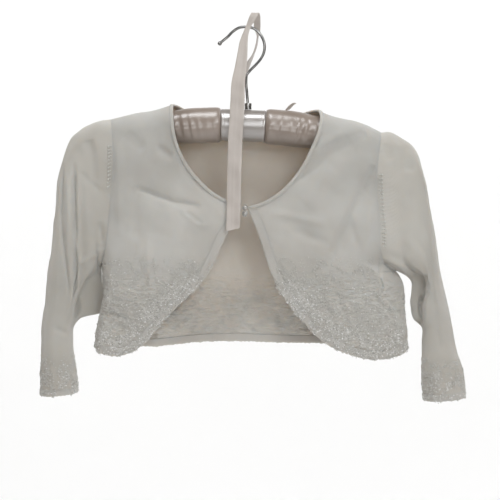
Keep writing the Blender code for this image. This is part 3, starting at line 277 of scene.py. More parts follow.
# The ribbon and its loose end: x, y, height, width, turn in degrees
RIBBON_DRAPED = (
    (-14.6, -30.6, -214.5, 14.5, 0), (-14.2, -29.6, -195, 14.6, -2), (-13.8, -27, -170, 14.8, -3),
    (-13, -23, -140, 15, -2), (-12.2, -20.8, -115, 15.2, 0), (-10.8, -20.6, -96, 15.4, 0),
    (-10, -18.2, -78, 15.2, 2), (-9.2, -13, -58, 14.4, 4), (-6.4, -8.6, -40, 12.5, 6),
    (-4.6, -6, -25, 10.5, 6), (-3.4, -4.4, -14, 8.6, 4), (-0.8, -3.2, -4, 6, 0), (2.2, -2.9, 3, 6, 4),
    (5.2, -2.8, 9, 8, 8), (7.6, -2, 14, 8.6, 10), (9, 0.3, 16.4, 8.6, 12), (10.2, 2.6, 13.6, 8.4, 14),
    (10.8, 3.6, 7, 8, 20), (11.2, 5.4, 0, 8.6, 45), (11.6, 8.4, -7, 11, 80), (11, 9.4, -13, 12, 84),
    (9.4, 9.8, -20, 12.5, 82), (6.4, 10, -28, 13, 78), (2, 10, -36, 13.5, 70), (-2.6, 9.8, -46, 14, 60),
    (-5.4, 9, -62, 14.5, 40),
)
RIBBON_END = (
    (43, 5, -87.2, 5, 10), (45.6, 4, -84, 5, 10), (49, 3, -80.6, 4.6, 10), (51, 2.4, -79.4, 4.2, 10),
)

# Finer creases of the shown cloth, as the soft folds above
CREASES = {
    "front": (
        (-118, -170, -75, -186, 1.5, 2.4), (-79, -184, -50, -190, 1.1, 3), (-65, -195, -48, -209, 0.8, 2.2),
        (-73, -191, -43, -213, -0.6, 4), (-130, -113, -109, -130, 1.2, 5.5),
        (-96, -124, -79, -139, 0.6, 3.6), (-60, -152, -41, -173, 0.9, 2.4),
        (-43, -170, -20, -187, 0.9, 2.4), (-136, -117, -135, -221, -0.8, 5),
        (-120, -151, -118, -236, 0.5, 5), (-106, -220, -102, -305, -0.6, 4.5),
        (-154, -302, -126, -310, 1.2, 1.8), (-152, -307, -126, -316, -0.6, 2.5),
        (73, -126, 101, -113, -1, 5), (126, -112, 105, -123, 1.2, 4.5), (116, -118, 84, -132, 1.5, 5),
        (88, -129, 69, -152, 1.4, 4.5), (71, -149, 41, -168, 1.1, 3.5), (135, -147, 124, -175, 1.4, 4),
        (125, -170, 109, -204, 1, 5), (110, -200, 88, -255, 0.9, 5.5), (107, -196, 119, -236, 0.6, 4),
        (141, -246, 145.4, -284, 1, 1.7), (145.4, -284, 169.8, -311, 0.8, 2),
        (133, -183, 126, -249, -0.7, 6), (27, -196, 84, -209, -0.8, 4.5), (46, -215, 88, -230, 0.6, 5),
        (82, -277, 100, -323, -0.9, 3.4), (92, -273, 109, -321, 0.8, 3), (139, -260, 145, -327, -0.6, 2.6),
        (-169, -120, -165, -137, 1.8, 4), (-165, -134, -162, -164, 0.9, 3.6),
        (-179, -153, -153, -177, 0.8, 1.8), (-184, -146, -183.6, -231, 2.6, 2),
        (-183.6, -231, -183.4, -313, 2.8, 2), (-177.5, -160, -176.5, -300, 1.1, 5),
        (-196, -146, -198.8, -204, 1.3, 1.9), (-198.8, -204, -190.5, -284, 1.5, 1.8),
        (-190.5, -160, -191, -236, -1, 3), (-179, -253, -153, -234, -1.2, 3.2),
        (-158, -207, -155, -230, 1, 3.5), (-207, -321, -192, -327, 0.7, 3),
        (171, -126, 173, -153, 1.8, 5.5), (147, -123, 152, -141, 1, 4), (147, -245, 190, -266, -1.1, 3),
        (190, -262, 195, -281, 1.2, 1.8), (195, -281, 187, -295, 1.3, 1.6),
        (187, -295, 186, -318, 1.3, 1.5), (150, -254, 180, -272, 0.9, 2.4), (190, -281, 184, -327, 0.8, 3),
        (201, -289, 207, -344, 0.6, 3.4),
    ),
    "back": (
        (-120, -150, -60, -182, 1.3, 5), (-86, -190, -70, -262, 0.9, 6.5), (100, -140, 54, -178, 1.3, 4.5),
        (118, -196, 96, -262, 0.9, 5.5), (-20, -215, 4, -290, 0.8, 8), (-34, -128, 40, -133, 0.8, 4),
        (-148, -256, -112, -268, 1, 3), (150, -262, 122, -276, 1, 3), (-40, -300, 30, -296, 0.8, 3.2),
        (-188, -140, -190, -230, 1.6, 3), (-206, -232, -186, -262, 1.2, 3.2),
        (-216, -300, -196, -312, 0.9, 3), (-222, -340, -200, -346, 0.7, 3),
        (192, -150, 196, -236, 1.4, 3.4), (204, -240, 190, -268, 1.2, 3.2), (206, -306, 228, -316, 0.9, 3),
        (212, -346, 234, -352, 0.7, 3),
    ),
}
CREASE_DEPTH = 2.2
CREASE_FADE = 4.0
FACING_GAIN = 2.5
SEAM_DIP = 0.08
SEAM_SPREAD = 1.2
LIE = 0.9
LIE_FINE = 0.14
LIE_WAVE = 46.0
LIE_FINE_WAVE = 15.0
SHOULDER_LOW = -158.0
SHOULDER_ROOM = 1.7

# Folded bands and the rolled binding: thickness, crown, stitched crease, scallops and ruffle
BAND_PROUD = 0.15
BAND_LIP = 0.12
LAP = 0.9
BAND_THICK = 2.6
BINDING_HALF = 1.3
BINDING_SIDES = 16
BAND_CROWN = 0.12
BAND_STITCH = 0.05
BAND_STITCH_AT = 1.7
BAND_STITCH_WIDTH = 0.55
BAND_ROUNDING = 1.5
BAND_BELLY = 0.15
BAND_UNDER = 9
BAND_STEP = 1.1
BAND_SWELL = 0.18
BAND_SWELL_WAVE = 24.0
BAND_SCALLOP = 0.18
BAND_PITCH = 4.4
BAND_FACE = 13
RUFFLE = 0.4
RUFFLE_TOP = -246.0
RUFFLE_FADE = 20.0
RUFFLE_WAVE = 7.0
RUFFLE_FINE_WAVE = 3.6
RUFFLE_ACROSS = 0.8
BINDING_STEP = 0.9
BINDING_WAVE = 0.10
BINDING_PITCH = 2.6

# Needlework: where it starts and how softly, and the part of the right front that stays plain
NEEDLEWORK_TOP = -244.0
FRONT_NEEDLEWORK_FADE = 76.0
LOW_POWER = 1.4
LOW_LEAST = 0.05
LOW_MOST = 0.4
NEAR_DROP = 8.0
NEAR_FADE = 24.0
DENSEST = 0.9
EDGE_SPREAD = 13.0
EDGE_LOOKS = 120
EDGE_NEEDLEWORK_TOP = -246.0
EDGE_NEEDLEWORK_FADE = 26.0
HEM_NEEDLEWORK = 70.0
HEM_NEEDLEWORK_FADE = 46.0
CUFF_NEEDLEWORK = 46.0
CUFF_NEEDLEWORK_FADE = 30.0
PLAIN_SIDE = ((-311, 169), (-284, 145), (-246, 140), (-230, 140))
PLAIN_COLUMNS = 4

# Ripples that it draws into the cloth, in the mesh and, in metres, in the bump
RIPPLE = 0.26
RIPPLE_FADE = 3.0
RIPPLE_PITCH = 3.6
RIPPLE_PITCH_BACK = 4.8
RIPPLE_WANDER = 2.2
WANDER_BACK = 2.6
RIPPLE_WAVE = 22.0
RIPPLE_WAVE_BACK = 20.0
LEAFY = 0.30
LEAFY_WAVE = 9.0
LEAFY_FINE = 0.20
LEAFY_FINE_WAVE = 5.0
LEAFY_BACK = 1.6
HEM_RELIEF = 38.0
HEM_RELIEF_TOP = -0.256
HEM_RELIEF_FADE = 0.03

# Sizes of its parts, how the sprigs run and end, and how many sprigs and single stitches each piece has
SPRIG_LENGTH = 10.0
INSIDE_SPRIGS = 40
INSIDE_LENGTH = 5.0
SEQUIN = 1.4
SEQUIN_SHARE = 0.10
SEQUIN_SHARE_EDGE = 0.85
BEAD = 1.0
SEQUIN_PART = 0.7
SEQUIN_TILT = 0.2
SEQUIN_THICK = 0.22
GLINT_PLACES = (1.2, 2.8)
STITCH_STEP = 1.6
STITCH_BELLY = 1.65
STEM_LAP = 1.15
STEM_WIDTH = 0.6
SPRIG_BEND = (0.05, 0.22)
SPRIG_CURL = 1.12
SPRIG_SPAN = (0.6, 1.2)
START_REACH = 0.8
STOP_REACH = 0.5
STOP_DENSITY = 0.04
LEAF_SIZES = (1.5, 2.5)
LEAF_TAPER = 0.4
LEAF_LEAN = 0.75
LEAF_SET = 0.6
LEAF_HEIGHT = 1.25
SEED_LENGTHS = (1.2, 2.2)
SEED_WIDTH = 0.9
SEED_HEIGHTS = (0.9, 1.4)
SEED_UPRIGHT = 1.5
SEEDS = {"front_left": 1100, "front_right": 1300, "back": 1800, "sleeve_left": 400, "sleeve_right": 400}
SPRIGS = {
    "front_left": 300, "front_right": 350, "back": 560, "sleeve_left": 120, "sleeve_right": 120,
    "front_band_left": 85, "front_band_right": 105, "hem_band_back": 80, "cuff_left": 36, "cuff_right": 36,
}

# Fashioning marks: heights between which they lie, columns of the sleeve's front and back,
# how many rows are searched, and distance from the seam, length and width of each mark of a pair
FASHIONED = {"sleeve_left": (-124, -168), "sleeve_right": (-156, -232)}
MARK_COLUMNS = ((4, 116), (124, 236))
MARK_ROWS = 30
MARK_STEP = 3.2
MARK_HEIGHT = 2.4
MARKS = ((2.0, 1.7, 1.6), (4.8, 3.1, 2.0))

# Ruched satin arms: their gathers, and the strength of these by distance from the middle band
ARM_RINGS = 300
ARM_SIDES = 88
CAP_RINGS = 16
PLEAT_SEAM = math.radians(94.0)
PLEAT_PITCH = 4.6
PLEAT_SLANT = 0.12
PLEAT_DEEP = 0.62
PLEAT_COUNT = 90
PLEAT_REACH = 19.0
PLEAT_SPREAD = 0.5
PLEAT_WIDE = 0.3
PLEAT_WIDE_SPREAD = 1.1
PLEAT_GROOVE = 0.3
PLEAT_GROOVE_SPREAD = 0.07
PLEAT_ROOT = 0.06
PLEAT_AT_ROOT = 0.6
PLEAT_LEAST = 0.35
PLEAT_MOST = 1.3
PLEAT_HEIGHTS = (0.2, 1.2)
PLEAT_STRENGTHS = (0.3, 1.4)
PLEAT_PLACES = 60
PLEAT_START = 4.0
PLEAT_BEHIND = 0.8
ARM_DENSER = 1.05
ARM_TUCK = 2.2
ARM_TUCK_SPREAD = 2.0
ARM_SWELL = 0.35
ARM_SWELL_WAVE = 34.0
ARM_TIP = 10.0
CAP_TURNS = (6, 88)
PLEATS = ((0, 0.7), (4, 0.5), (12, 0.35), (24, 0.4), (34, 0.9), (52, 1.0), (62, 0.6), (200, 0.5))

# Smooth band: how its ends turn under, its stitched hems and soft swell; ribbon and clasp
BAND_SIDES = 96
BAND_RINGS = 60
BAND_ENDS = ((0.0, 1.1), (0.25, 0.5), (0.9, 0.12))
BAND_HEM_AT = 3.2
BAND_HEM_WIDTH = 0.5
BAND_HEM_DEEP = 0.25
SMOOTH_SWELL = 0.12
SMOOTH_SWELL_WAVE = 22.0
RIBBON_SHARES = 23
RIBBON_SLANT = 1.6
RIBBON_CUT_FADE = 12.0
RIBBON_THIN = 0.75
RIBBON_CROWN = 0.75
RIBBON_CROWN_TURN = 2.6
RIBBON_GROOVE = 0.55
RIBBON_GROOVE_AT = 0.12
RIBBON_GROOVE_WIDTH = 0.16
DRAPED_FOLD = (330, 0.2)
END_FOLD = (24, 0.3)
CLASP = (-1.95, -23.9, -194.5)
CLASP_HALF = 3.2
CLASP_BEADS = ((CLASP_HALF, 2.25), (-CLASP_HALF, 2.35))
CLASP_RING = (2.7, 2.9)
CLASP_RING_POINTS = 24
CLASP_WIRE = 0.45

# Edgings that each piece carries
EDGES_OF = {
    "front_left": ("front_band_left", "neck_binding_left"),
    "front_right": ("front_band_right", "neck_binding_right"),
    "back": ("neck_binding_back", "hem_band_back"),
    "sleeve_left": ("cuff_left",),
    "sleeve_right": ("cuff_right",),
}

# Knits: light and dark colour, width and height of a stitch, strength of their relief
KNITS = {
    # All three are one yarn: the knit jersey, which the sleeves wear, is warmer to paint the warm light that
    # glows through their single layer of cloth
    "knit jersey": ((0.672, 0.645, 0.597), (0.588, 0.56, 0.512), 1.5, 1.25, 0.55),
    "embroidered jersey": ((0.672, 0.655, 0.62), (0.578, 0.562, 0.528), 1.5, 1.25, 0.55),
    "knit edging": ((0.65, 0.637, 0.602), (0.565, 0.55, 0.517), 1.3, 1.1, 0.5),
}
# Painted shade: the knit's colour is darkened towards this in the hollows between its stitches
PAINTED_STITCH_SHADE = (0.90, 0.895, 0.885)

# Satins: light and dark colour, scale of the weave along and across, gloss
SATINS = {
    # Both are one satin: the smooth band's colour is set darker than the ruched arms' to paint the shade on
    # its lower half; the band is also glossier
    "blush satin": ((0.29, 0.25, 0.225), (0.20, 0.17, 0.15), (0.35, 5.0, 1.0), 2.3),
    "ruched satin": ((0.325, 0.265, 0.225), (0.228, 0.178, 0.145), (0.35, 5.0, 1.0), 1.6),
    "ribbon satin": ((0.575, 0.525, 0.485), (0.475, 0.43, 0.395), (5.0, 0.3, 1.0), 1.33),
}

# Other finishes: scale and detail of their noise, dark and light end, roughness, and other values
PLAINS = {
    # The thread's mottle is its own uneven colour, but its dark end is set deep to paint the shade in the
    # gaps between the dense stitches
    "embroidery thread": (1400.0, 2.0, (0.3, (0.49, 0.48, 0.445)), (0.7, (0.74, 0.73, 0.69)), (0.2, 0.34),
                          {"Sheen Weight": 0.2}),
    # The clear sequins are given a near-white colour that paints their glints
    "clear sequins": (260.0, 1.0, (0.35, (0.80, 0.79, 0.77)), (0.65, (0.94, 0.935, 0.93)), (0.12, 0.10),
                      {"Coat Weight": 1.0, "Coat Roughness": 0.03}),
    "clear beads": (420.0, 1.0, (0.35, (0.55, 0.54, 0.52)), (0.65, (0.80, 0.79, 0.77)), (0.08, 0.04),
                    {"Transmission Weight": 0.35, "IOR": 1.5, "Coat Weight": 1.0}),
    "chromed wire": (90.0, 4.0, (0.38, (0.12, 0.12, 0.12)), (0.66, (0.42, 0.415, 0.405)), (0.16, 0.10),
                     {"Metallic": 1.0}),
    "pale studio": (0.8, 1.0, (0.2, (0.93, 0.93, 0.93)), (0.8, (0.95, 0.95, 0.95)), (), {"Roughness": 0.9}),
}

# Studio in metres: floor, and lamps as name, place, target, size and power
FLOOR = -0.9
STUDIO_HALF = 14.0
BEND_START = 1.6
BEND_RADIUS = 0.9
WALL_TOP = (2.5, 3.6)
LAMPS = (
    ("key", (0.78, -1.55, 0.66), (0.0, 0.0, -0.24), 0.8, 10.3),
    ("front", (0.0, -1.9, 0.1), (0.0, 0.0, -0.24), 0.7, 4.8),
    ("overhead", (-0.1, -0.5, 1.3), (0.0, 0.0, -0.1), 0.6, 9.5),
    ("backdrop_left", (-1.6, 0.9, 1.2), (-0.4, 2.4, 0.1), 1.2, 26.0),
    ("backdrop_right", (1.6, 0.9, 1.2), (0.4, 2.4, 0.1), 1.2, 26.0),
)
AIR = 0.27
AIR_TINT = (1.0, 0.93, 0.86)
LAMP_TINT = (0.965, 0.985, 1.0)


# Places on the cloth, as the solids have them


def unit(vectors):
    """The vectors, each with the length one."""
    if vectors.ndim == 1:
        return vectors / np.linalg.norm(vectors)
    return vectors / np.linalg.norm(vectors, axis=-1, keepdims=True)


def spline(knots, values, at):
    """Smooth curve through values at rising knots, read at each place in at."""
    knots = np.asarray(knots, float)
    values = np.asarray(values, float)
    at = np.asarray(at, float)
    slopes = np.empty_like(values)
    gaps = np.diff(knots).reshape(-1, *[1] * (values.ndim - 1))
    steps = np.diff(values, axis=0) / gaps
    slopes[1:-1] = (steps[:-1] * gaps[1:] + steps[1:] * gaps[:-1]) / (gaps[1:] + gaps[:-1])
    slopes[0] = steps[0]
    slopes[-1] = steps[-1]
    i = np.clip(np.searchsorted(knots, at, side="right") - 1, 0, len(knots) - 2)
    span = knots[i + 1] - knots[i]
    t = np.clip((at - knots[i]) / span, 0.0, 1.0)
    shape = t.shape + (1,) * (values.ndim - 1)
    t = t.reshape(shape)
    span = span.reshape(shape)
    a = (2 * t**3 - 3 * t**2 + 1) * values[i]
    b = (t**3 - 2 * t**2 + t) * span * slopes[i]
    c = (3 * t**2 - 2 * t**3) * values[i + 1]
    d = (t**3 - t**2) * span * slopes[i + 1]
    return a + b + c + d


def running(steps):
    """Running total of these steps, from 0."""
    return np.concatenate([[0.0], np.cumsum(steps)])


def lengths(points):
    """Distance along the line at each of its points."""
    return running(np.linalg.norm(np.diff(points, axis=0), axis=1))


def read_line(line, reach, wanted):
    """A line of points, each at its reach, read at the reaches wanted."""
    return np.stack([np.interp(wanted, reach, line[:, k]) for k in range(line.shape[1])], axis=1)


def along(points, shares):
    """Points at these shares of the length of a smooth curve through the points given."""
    points = np.asarray(points, float)
    knots = lengths(points)
    fine = spline(knots, points, np.linspace(0, knots[-1], LINE_POINTS))
    reach = lengths(fine)
    return read_line(fine, reach, np.asarray(shares) * reach[-1])


def by_height(table, column, z):
    """A column of a table whose rows go down, read at heights z."""
    rows = np.asarray(table, float)[::-1]
    heights = np.clip(z, rows[0, 0], rows[-1, 0])
    return spline(rows[:, 0], rows[:, column], heights)


def pad_read(x, column):
    """A column of the padded arm's line at x, held at its ends."""
    rows = np.asarray(PAD_LINE)
    return spline(rows[:, 0], rows[:, column], np.clip(x, rows[0, 0], rows[-1, 0]))


def pad_centre(x):
    return pad_read(x, 1)


def pad_radius(x):
    return pad_read(x, 2)


def cloth_radius(x):
    """Outer face of the cloth round the padded arm, measured upright where the arm slopes."""
    step = 1.0
    slope = (pad_centre(x + step) - pad_centre(x - step)) / (2 * step)
    lift = np.zeros_like(x)
    for side in ("left", "right"):
        lift = lift + COLLAR_LIFT * np.exp(-(((x - NECK[side][0][0]) / COLLAR_SPREAD) ** 2))
    return pad_radius(x) * np.sqrt(1 + slope**2) + PAD_CLEARANCE + WALL + lift


def drop_line(x, z):
    """Drop line of a place given by its height: the same below the arm's middle, longer over the arm."""
    x = np.asarray(x, float)
    above = np.clip((z - pad_centre(x)) / cloth_radius(x), 0.0, 1.0)
    return np.where(above > 0, pad_centre(x) + cloth_radius(x) * np.arcsin(above), z)


def on_cloth(table):
    """A table of x and height as points of x and drop line."""
    rows = np.asarray(table, float)
    return np.stack([rows[:, 0], drop_line(rows[:, 0], rows[:, 1])], axis=1)


def top_line(x):
    """Drop line of the top of the arm, where the shoulder seams run."""
    x = np.asarray(x, float)
    return pad_centre(x) + cloth_radius(x) * math.pi / 2


def fold_depth(folds, x, z):
    """Depth of the soft folds at x, z: each fades at its ends and to its sides."""
    depth = np.zeros_like(x)
    for x0, z0, x1, z1, deep, half in folds:
        run = np.array([x1 - x0, z1 - z0])
        size = np.linalg.norm(run)
        run = run / size
        forward = ((x - x0) * run[0] + (z - z0) * run[1]) / size
        aside = (x - x0) * run[1] - (z - z0) * run[0]
        ends = np.abs(2 * forward - 1)
        fade = np.clip(FOLD_FADE - ends**3, 0, 1) * (ends < FOLD_END)
        depth = depth + deep * fade * np.exp(-((aside / half) ** 2))
    return depth


def side_turn(x, q, face, side):
    """How far across its depth the cloth is at x, from 0 at the side edge to 1 on the flat."""
    rows = on_cloth(SIDE_EDGE[side])[::-1]
    edge = spline(rows[:, 1], rows[:, 0], np.clip(q, rows[0, 1], rows[-1, 1]))
    inside = (x - edge) if side == "left" else (edge - x)
    width = by_height(TURN[face], 1 if side == "left" else 2, q)
    sharp = SHARPNESS[face][side]
    share = np.clip(inside / width, 0.0, 1.0)
    return (1 - sharp) * np.sqrt(1 - (1 - share) ** 2) + sharp * share


def armhole_turn(q, side):
    """1 where the armhole edge lies on the front or back, 0 from the underarm down."""
    start, end, _ = UNDERARM[side]
    share = np.clip((start - q) / (start - end - UNDERARM_FLAT), 0.0, 1.0)
    return np.sqrt(1 - share**2)


def drape(points, face, edge=None):
    """Places of x and drop line on the front or back, as points in space. Edge marks the side edges."""
    x = points[..., 0]
    q = points[..., 1]
    radius = cloth_radius(x)
    centre = pad_centre(x)
    angle = np.clip((q - centre) / radius, 0.0, math.pi / 2)
    z = np.where(q > centre, centre + radius * np.sin(angle), q)
    swell = by_height(SWELL, 1 if face == "front" else 2, q)
    depth = radius * np.cos(angle) + swell
    depth = depth - fold_depth(FOLDS[face], x, z) * np.cos(angle) ** 2
    seam = np.zeros_like(x)
    for side, here in (("left", x < 0), ("right", x >= 0)):
        open_edge = armhole_turn(q, side)
        across = side_turn(x, q, face, side)
        if edge is not None:
            across = np.where(edge, 0.0, across)
        turn = open_edge + (1 - open_edge) * across
        seam = np.where(here, UNDERARM[side][2] * (1 - turn), seam)
        depth = np.where(here, depth * turn, depth)
    facing = -1.0 if face == "front" else 1.0
    return np.stack([x, facing * depth + seam, z], axis=-1)


def edge_mask(grid, columns):
    """Marks these columns of a grid as side edges."""
    mask = np.zeros(grid.shape[:2], bool)
    mask[:, columns] = True
    return mask


def cloth_normals(line, face, ends):
    """Outward normals of the cloth along a line of places; at ends on a side seam they point aside."""
    step = 0.5
    aside = drape(line + [step, 0.0], face) - drape(line - [step, 0.0], face)
    down = drape(line + [0.0, step], face) - drape(line - [0.0, step], face)
    normal = unit(np.cross(aside, down))
    facing = -1.0 if face == "front" else 1.0
    normal = normal * np.where(np.sum(normal * [0.0, facing, OUTWARD_RISE], axis=1) < 0, -1.0, 1.0)[:, None]
    for end, direction in ends.items():
        normal[end] = (direction, 0.0, 0.0)
    return normal


def coons(top, bottom, left, right, u, v):
    """Grid between four edges, its rows from top to bottom."""
    u = np.asarray(u)[None, :, None]
    v = np.asarray(v)[:, None, None]
    across = (1 - v) * top[None] + v * bottom[None]
    down = (1 - u) * left[:, None] + u * right[:, None]
    corners = (1 - u) * (1 - v) * top[0] + u * (1 - v) * top[-1]
    corners = corners + (1 - u) * v * bottom[0] + u * v * bottom[-1]
    return across + down - corners


def offset(points, width):
    """The line moved to its left side by width, in its own plane."""
    ahead = unit(np.gradient(points, axis=0))
    return points + width * np.stack([-ahead[:, 1], ahead[:, 0]], axis=1)


def corner(point, first, first_width, second, second_width):
    """Where two edges that leave a corner meet again once each has moved inward by its width."""
    first, second = unit(first), unit(second)
    sine = abs(first[0] * second[1] - first[1] * second[0])
    return point + (first * second_width + second * first_width) / sine


def front_lines(side):
    """Edges of a front panel inside its binding and band, and the free edges outside them."""
    turn = 1.0 if side == "left" else -1.0
    neck = on_cloth(NECK[side])
    neck[0, 1] = top_line(neck[0, 0])
    neck = along(neck, np.linspace(0, 1, NECK_POINTS))
    edge = along(on_cloth(FRONT_EDGE[side]), np.linspace(0, 1, EDGE_POINTS))
    inner_neck = offset(neck, -turn * BINDING)
    inner_edge = offset(edge, -turn * BAND)
    up, down = neck[-1 - CORNER_STEP] - neck[-1], edge[CORNER_STEP] - edge[0]
    meet = corner(neck[-1], up, BINDING, down, BAND)
    inner_neck = np.concatenate([inner_neck[:-NECK_CUT], [meet]])
    inner_edge = np.concatenate([[meet], inner_edge[EDGE_CUT:]])
    inner_neck[0] = shoulder_columns(side, 1)[-1]
    return neck, inner_neck, edge, inner_edge


def relax(grid, u, v):
    """Evens out the inside of a grid while its edges stay, keeping the spacing of u and v."""
    grid = grid.copy()
    wide = np.linalg.norm(grid[:, -1] - grid[:, 0], axis=1).mean()
    high = np.linalg.norm(grid[-1] - grid[0], axis=1).mean()
    weights = []
    for steps in (np.diff(u) * wide, np.diff(v) * high):
        total = steps[1:] + steps[:-1]
        weights += [1 / (steps[:-1] * total), 1 / (steps[1:] * total)]
    before, after = (w[None, :, None] for w in weights[:2])
    above, below = (w[:, None, None] for w in weights[2:])
    for _ in range(RELAX_ROUNDS):
        moved = before * grid[1:-1, :-2] + after * grid[1:-1, 2:]
        moved = moved + above * grid[:-2, 1:-1] + below * grid[2:, 1:-1]
        grid[1:-1, 1:-1] = moved / (before + after + above + below)
    return grid


def half_ring(row, part, shares):
    """Half of a sleeve section: over its front from the outer to the inner edge, or behind it."""
    outer = np.array([row["outer_x"], row["outer_z"]])
    fold = np.array([row["fold_x"], row["fold_z"]])
    inner = np.array([row["inner_x"], row["inner_z"]])
    depth = row["front"] if part == "front" else row["rear"]
    facing = -1.0 if part == "front" else 1.0
    length = np.linalg.norm(inner - outer)
    cap = min(depth, length / 2)
    arc = math.pi / 4 * (cap + depth)
    run = shares * (2 * arc + length - 2 * cap)
    near = np.clip(run / arc, 0, 1) * math.pi / 2
    far = np.clip((run - arc - length + 2 * cap) / arc, 0, 1) * math.pi / 2
    straight = np.clip(run - arc, 0, length - 2 * cap)
    reach = cap * (1 - np.cos(near)) + straight + cap * np.sin(far)
    place = outer + reach[:, None] / length * (inner - outer)
    bulge = np.sin(near) * np.cos(far)
    y = facing * depth * bulge + row["inner_y"] * shares**3
    plain = np.stack([place[:, 0], y, place[:, 1]], axis=1)
    if part == "back" or row["recess"] == 0:
        return plain
    length = np.linalg.norm(fold - outer)
    controls = []
    for turn in np.linspace(0, math.pi / 2, FOLD_ROUND_POINTS):
        reach = min(depth, FOLD_ROUND * length) * (1 - math.cos(turn)) / length
        controls.append((FOLD_ROUND_SHARE * turn / (math.pi / 2), reach, -depth * math.sin(turn)))
    controls += [(share, reach, -depth * bulge) for share, reach, bulge in FOLD_PATH]
    controls.append((FOLD_SHARE, 1.0, FOLD_DEPTH * row["inner_y"]))
    points = []
    for _, reach, y in controls:
        place = outer + reach * (fold - outer)
        points.append((place[0], y, place[1]))
    place = (fold + inner) / 2
    points += [(place[0], UNDER_DEPTH * row["inner_y"], place[1]), (inner[0], row["inner_y"], inner[1])]
    knots = [control[0] for control in controls] + [UNDER_SHARE, 1.0]
    return (1 - row["recess"]) * plain + row["recess"] * spline(knots, points, shares)


def steps_between(steps, fine):
    """The steps with fine - 1 more between each two."""
    count = len(steps)
    return np.interp(np.linspace(0, count - 1, (count - 1) * fine + 1), np.arange(count), steps)


def side_rows(side, fine):
    """Places down the armhole and side seam, one for each row, and their shares."""
    line = along(on_cloth(SIDE_EDGE[side]), np.linspace(0, 1, LINE_POINTS))
    split = int(np.argmin(np.abs(line[:, 1] - UNDERARM[side][1])))
    hole_steps = steps_between(ARMHOLE_STEPS, fine)
    seam_steps = steps_between((0,) + SIDE_STEPS, fine)[1:]
    bottom = line[split:]
    keep = bottom[:, 1] >= bottom[-1, 1] + BAND
    hole = along(line[: split + 1 : 4], hole_steps / ARMHOLE_STEPS[-1])
    rows = np.concatenate([hole, along(bottom[keep][::2], seam_steps / SIDE_STEPS[-1])])
    steps = np.concatenate([hole_steps, seam_steps + ARMHOLE_STEPS[-1]])
    return rows, steps / steps[-1]


def shoulder_columns(side, fine):
    """Places along the shoulder seam from the armhole to the neck, on top of the arm."""
    edge = on_cloth(SIDE_EDGE[side])[0]
    inward = 1.0 if side == "left" else -1.0
    shares = steps_between(FRONT_COLUMNS, fine)
    x = edge[0] + (NECK[side][0][0] - inward * BINDING - edge[0]) * shares
    return np.stack([x, top_line(x)], axis=1)


def front_grid(side, fine):
    """Panel grid as places on the cloth, with the lines of its neck, front edge and hem."""
    left, v = side_rows(side, fine)
    rows = NECK_ROWS * fine
    neck, inner_neck, edge, inner_edge = front_lines(side)
    turned = on_cloth(FRONT_EDGE[side])[CORNER_ROW]
    split = int(np.argmin(np.linalg.norm(edge - turned, axis=1)))
    inner_split = int(np.argmin(np.linalg.norm(inner_edge - edge[split], axis=1)))
    neck_share = v[: rows + 1] / v[rows]
    edge_share = (v[rows:] - v[rows]) / (1 - v[rows])
    right = along(inner_neck, neck_share)
    right = np.concatenate([right, along(inner_edge[: inner_split + 1], edge_share)[1:]])
    u = steps_between(FRONT_COLUMNS, fine)
    bottom = along(np.concatenate([left[-1:], inner_edge[inner_split:-HEM_END][::-1]]), u)
    top = shoulder_columns(side, fine)
    if fine == 1:
        grid = relax(coons(top, bottom, left, right, u, v), u, v)
    else:
        coarse = front_grid(side, 1)["grid"]
        stops = (0, NECK_ROWS, len(ARMHOLE_STEPS) - 1, coarse.shape[0] - 1)
        grid = refine(coarse, stops, (0, coarse.shape[1] - 1), fine, fine)
        grid = hold_edges(grid, top, bottom, left, right)
    return {
        "grid": grid,
        "neck": (right[: rows + 1], along(neck, neck_share)),
        "edge": (right[rows:], along(edge[: split + 1], edge_share)),
        "hem": (bottom, along(edge[split:][::-1], u)),
    }


def back_grid(fine, across):
    """Back panel as places on the cloth, with the lines of its neck and hem."""
    left, v = side_rows("left", fine)
    right, _ = side_rows("right", fine)
    neck = on_cloth(NECK_BACK)
    neck[[0, -1], 1] = top_line(neck[[0, -1], 0])
    neck = along(neck, np.linspace(0, 1, BACK_NECK_POINTS))
    columns = steps_between(BACK_COLUMNS, across)
    first = shoulder_at("left", columns)
    last = shoulder_at("right", columns)[::-1]
    inner = offset(neck, -BINDING)[BACK_NECK_CUT:-BACK_NECK_CUT]
    inner = np.concatenate([first[-1:], inner, last[:1]])
    share = np.linspace(0, 1, BACK_NECK_COLUMNS * across + 1)
    top = np.concatenate([first, along(inner, share)[1:-1], last])
    if across == 1:
        reach = lengths(top)
        u = reach / reach[-1]
    else:
        coarse = back_grid(1, 1)
        u = steps_between(coarse["u"], across)
    hem = np.asarray(HEM_BACK, float)
    bottom = along(hem + [0.0, BAND], u)
    bottom[0] = left[-1]
    bottom[-1] = right[-1]
    if across == 1:
        grid = coons(top, bottom, left, right, u, v)
    else:
        shoulder = len(BACK_COLUMNS) - 1
        stops = (0, shoulder, shoulder + BACK_NECK_COLUMNS, 2 * shoulder + BACK_NECK_COLUMNS)
        grid = coarse["grid"]
        grid = refine(grid, (0, len(ARMHOLE_STEPS) - 1, grid.shape[0] - 1), stops, fine, across)
        grid = hold_edges(grid, top, bottom, left, right)
    low = len(first) - 1
    return {
        "grid": grid,
        "u": u,
        "neck": (top[low : low + len(share)], along(neck, share)),
        "hem": (bottom, along(hem, u)),
    }


def shoulder_at(side, columns):
    """Places along the shoulder seam at these columns of a front, whole or between two."""
    line = shoulder_columns(side, 1)
    whole = np.arange(len(line))
    x = np.interp(columns, whole, line[:, 0])
    return np.stack([x, top_line(x)], axis=1)


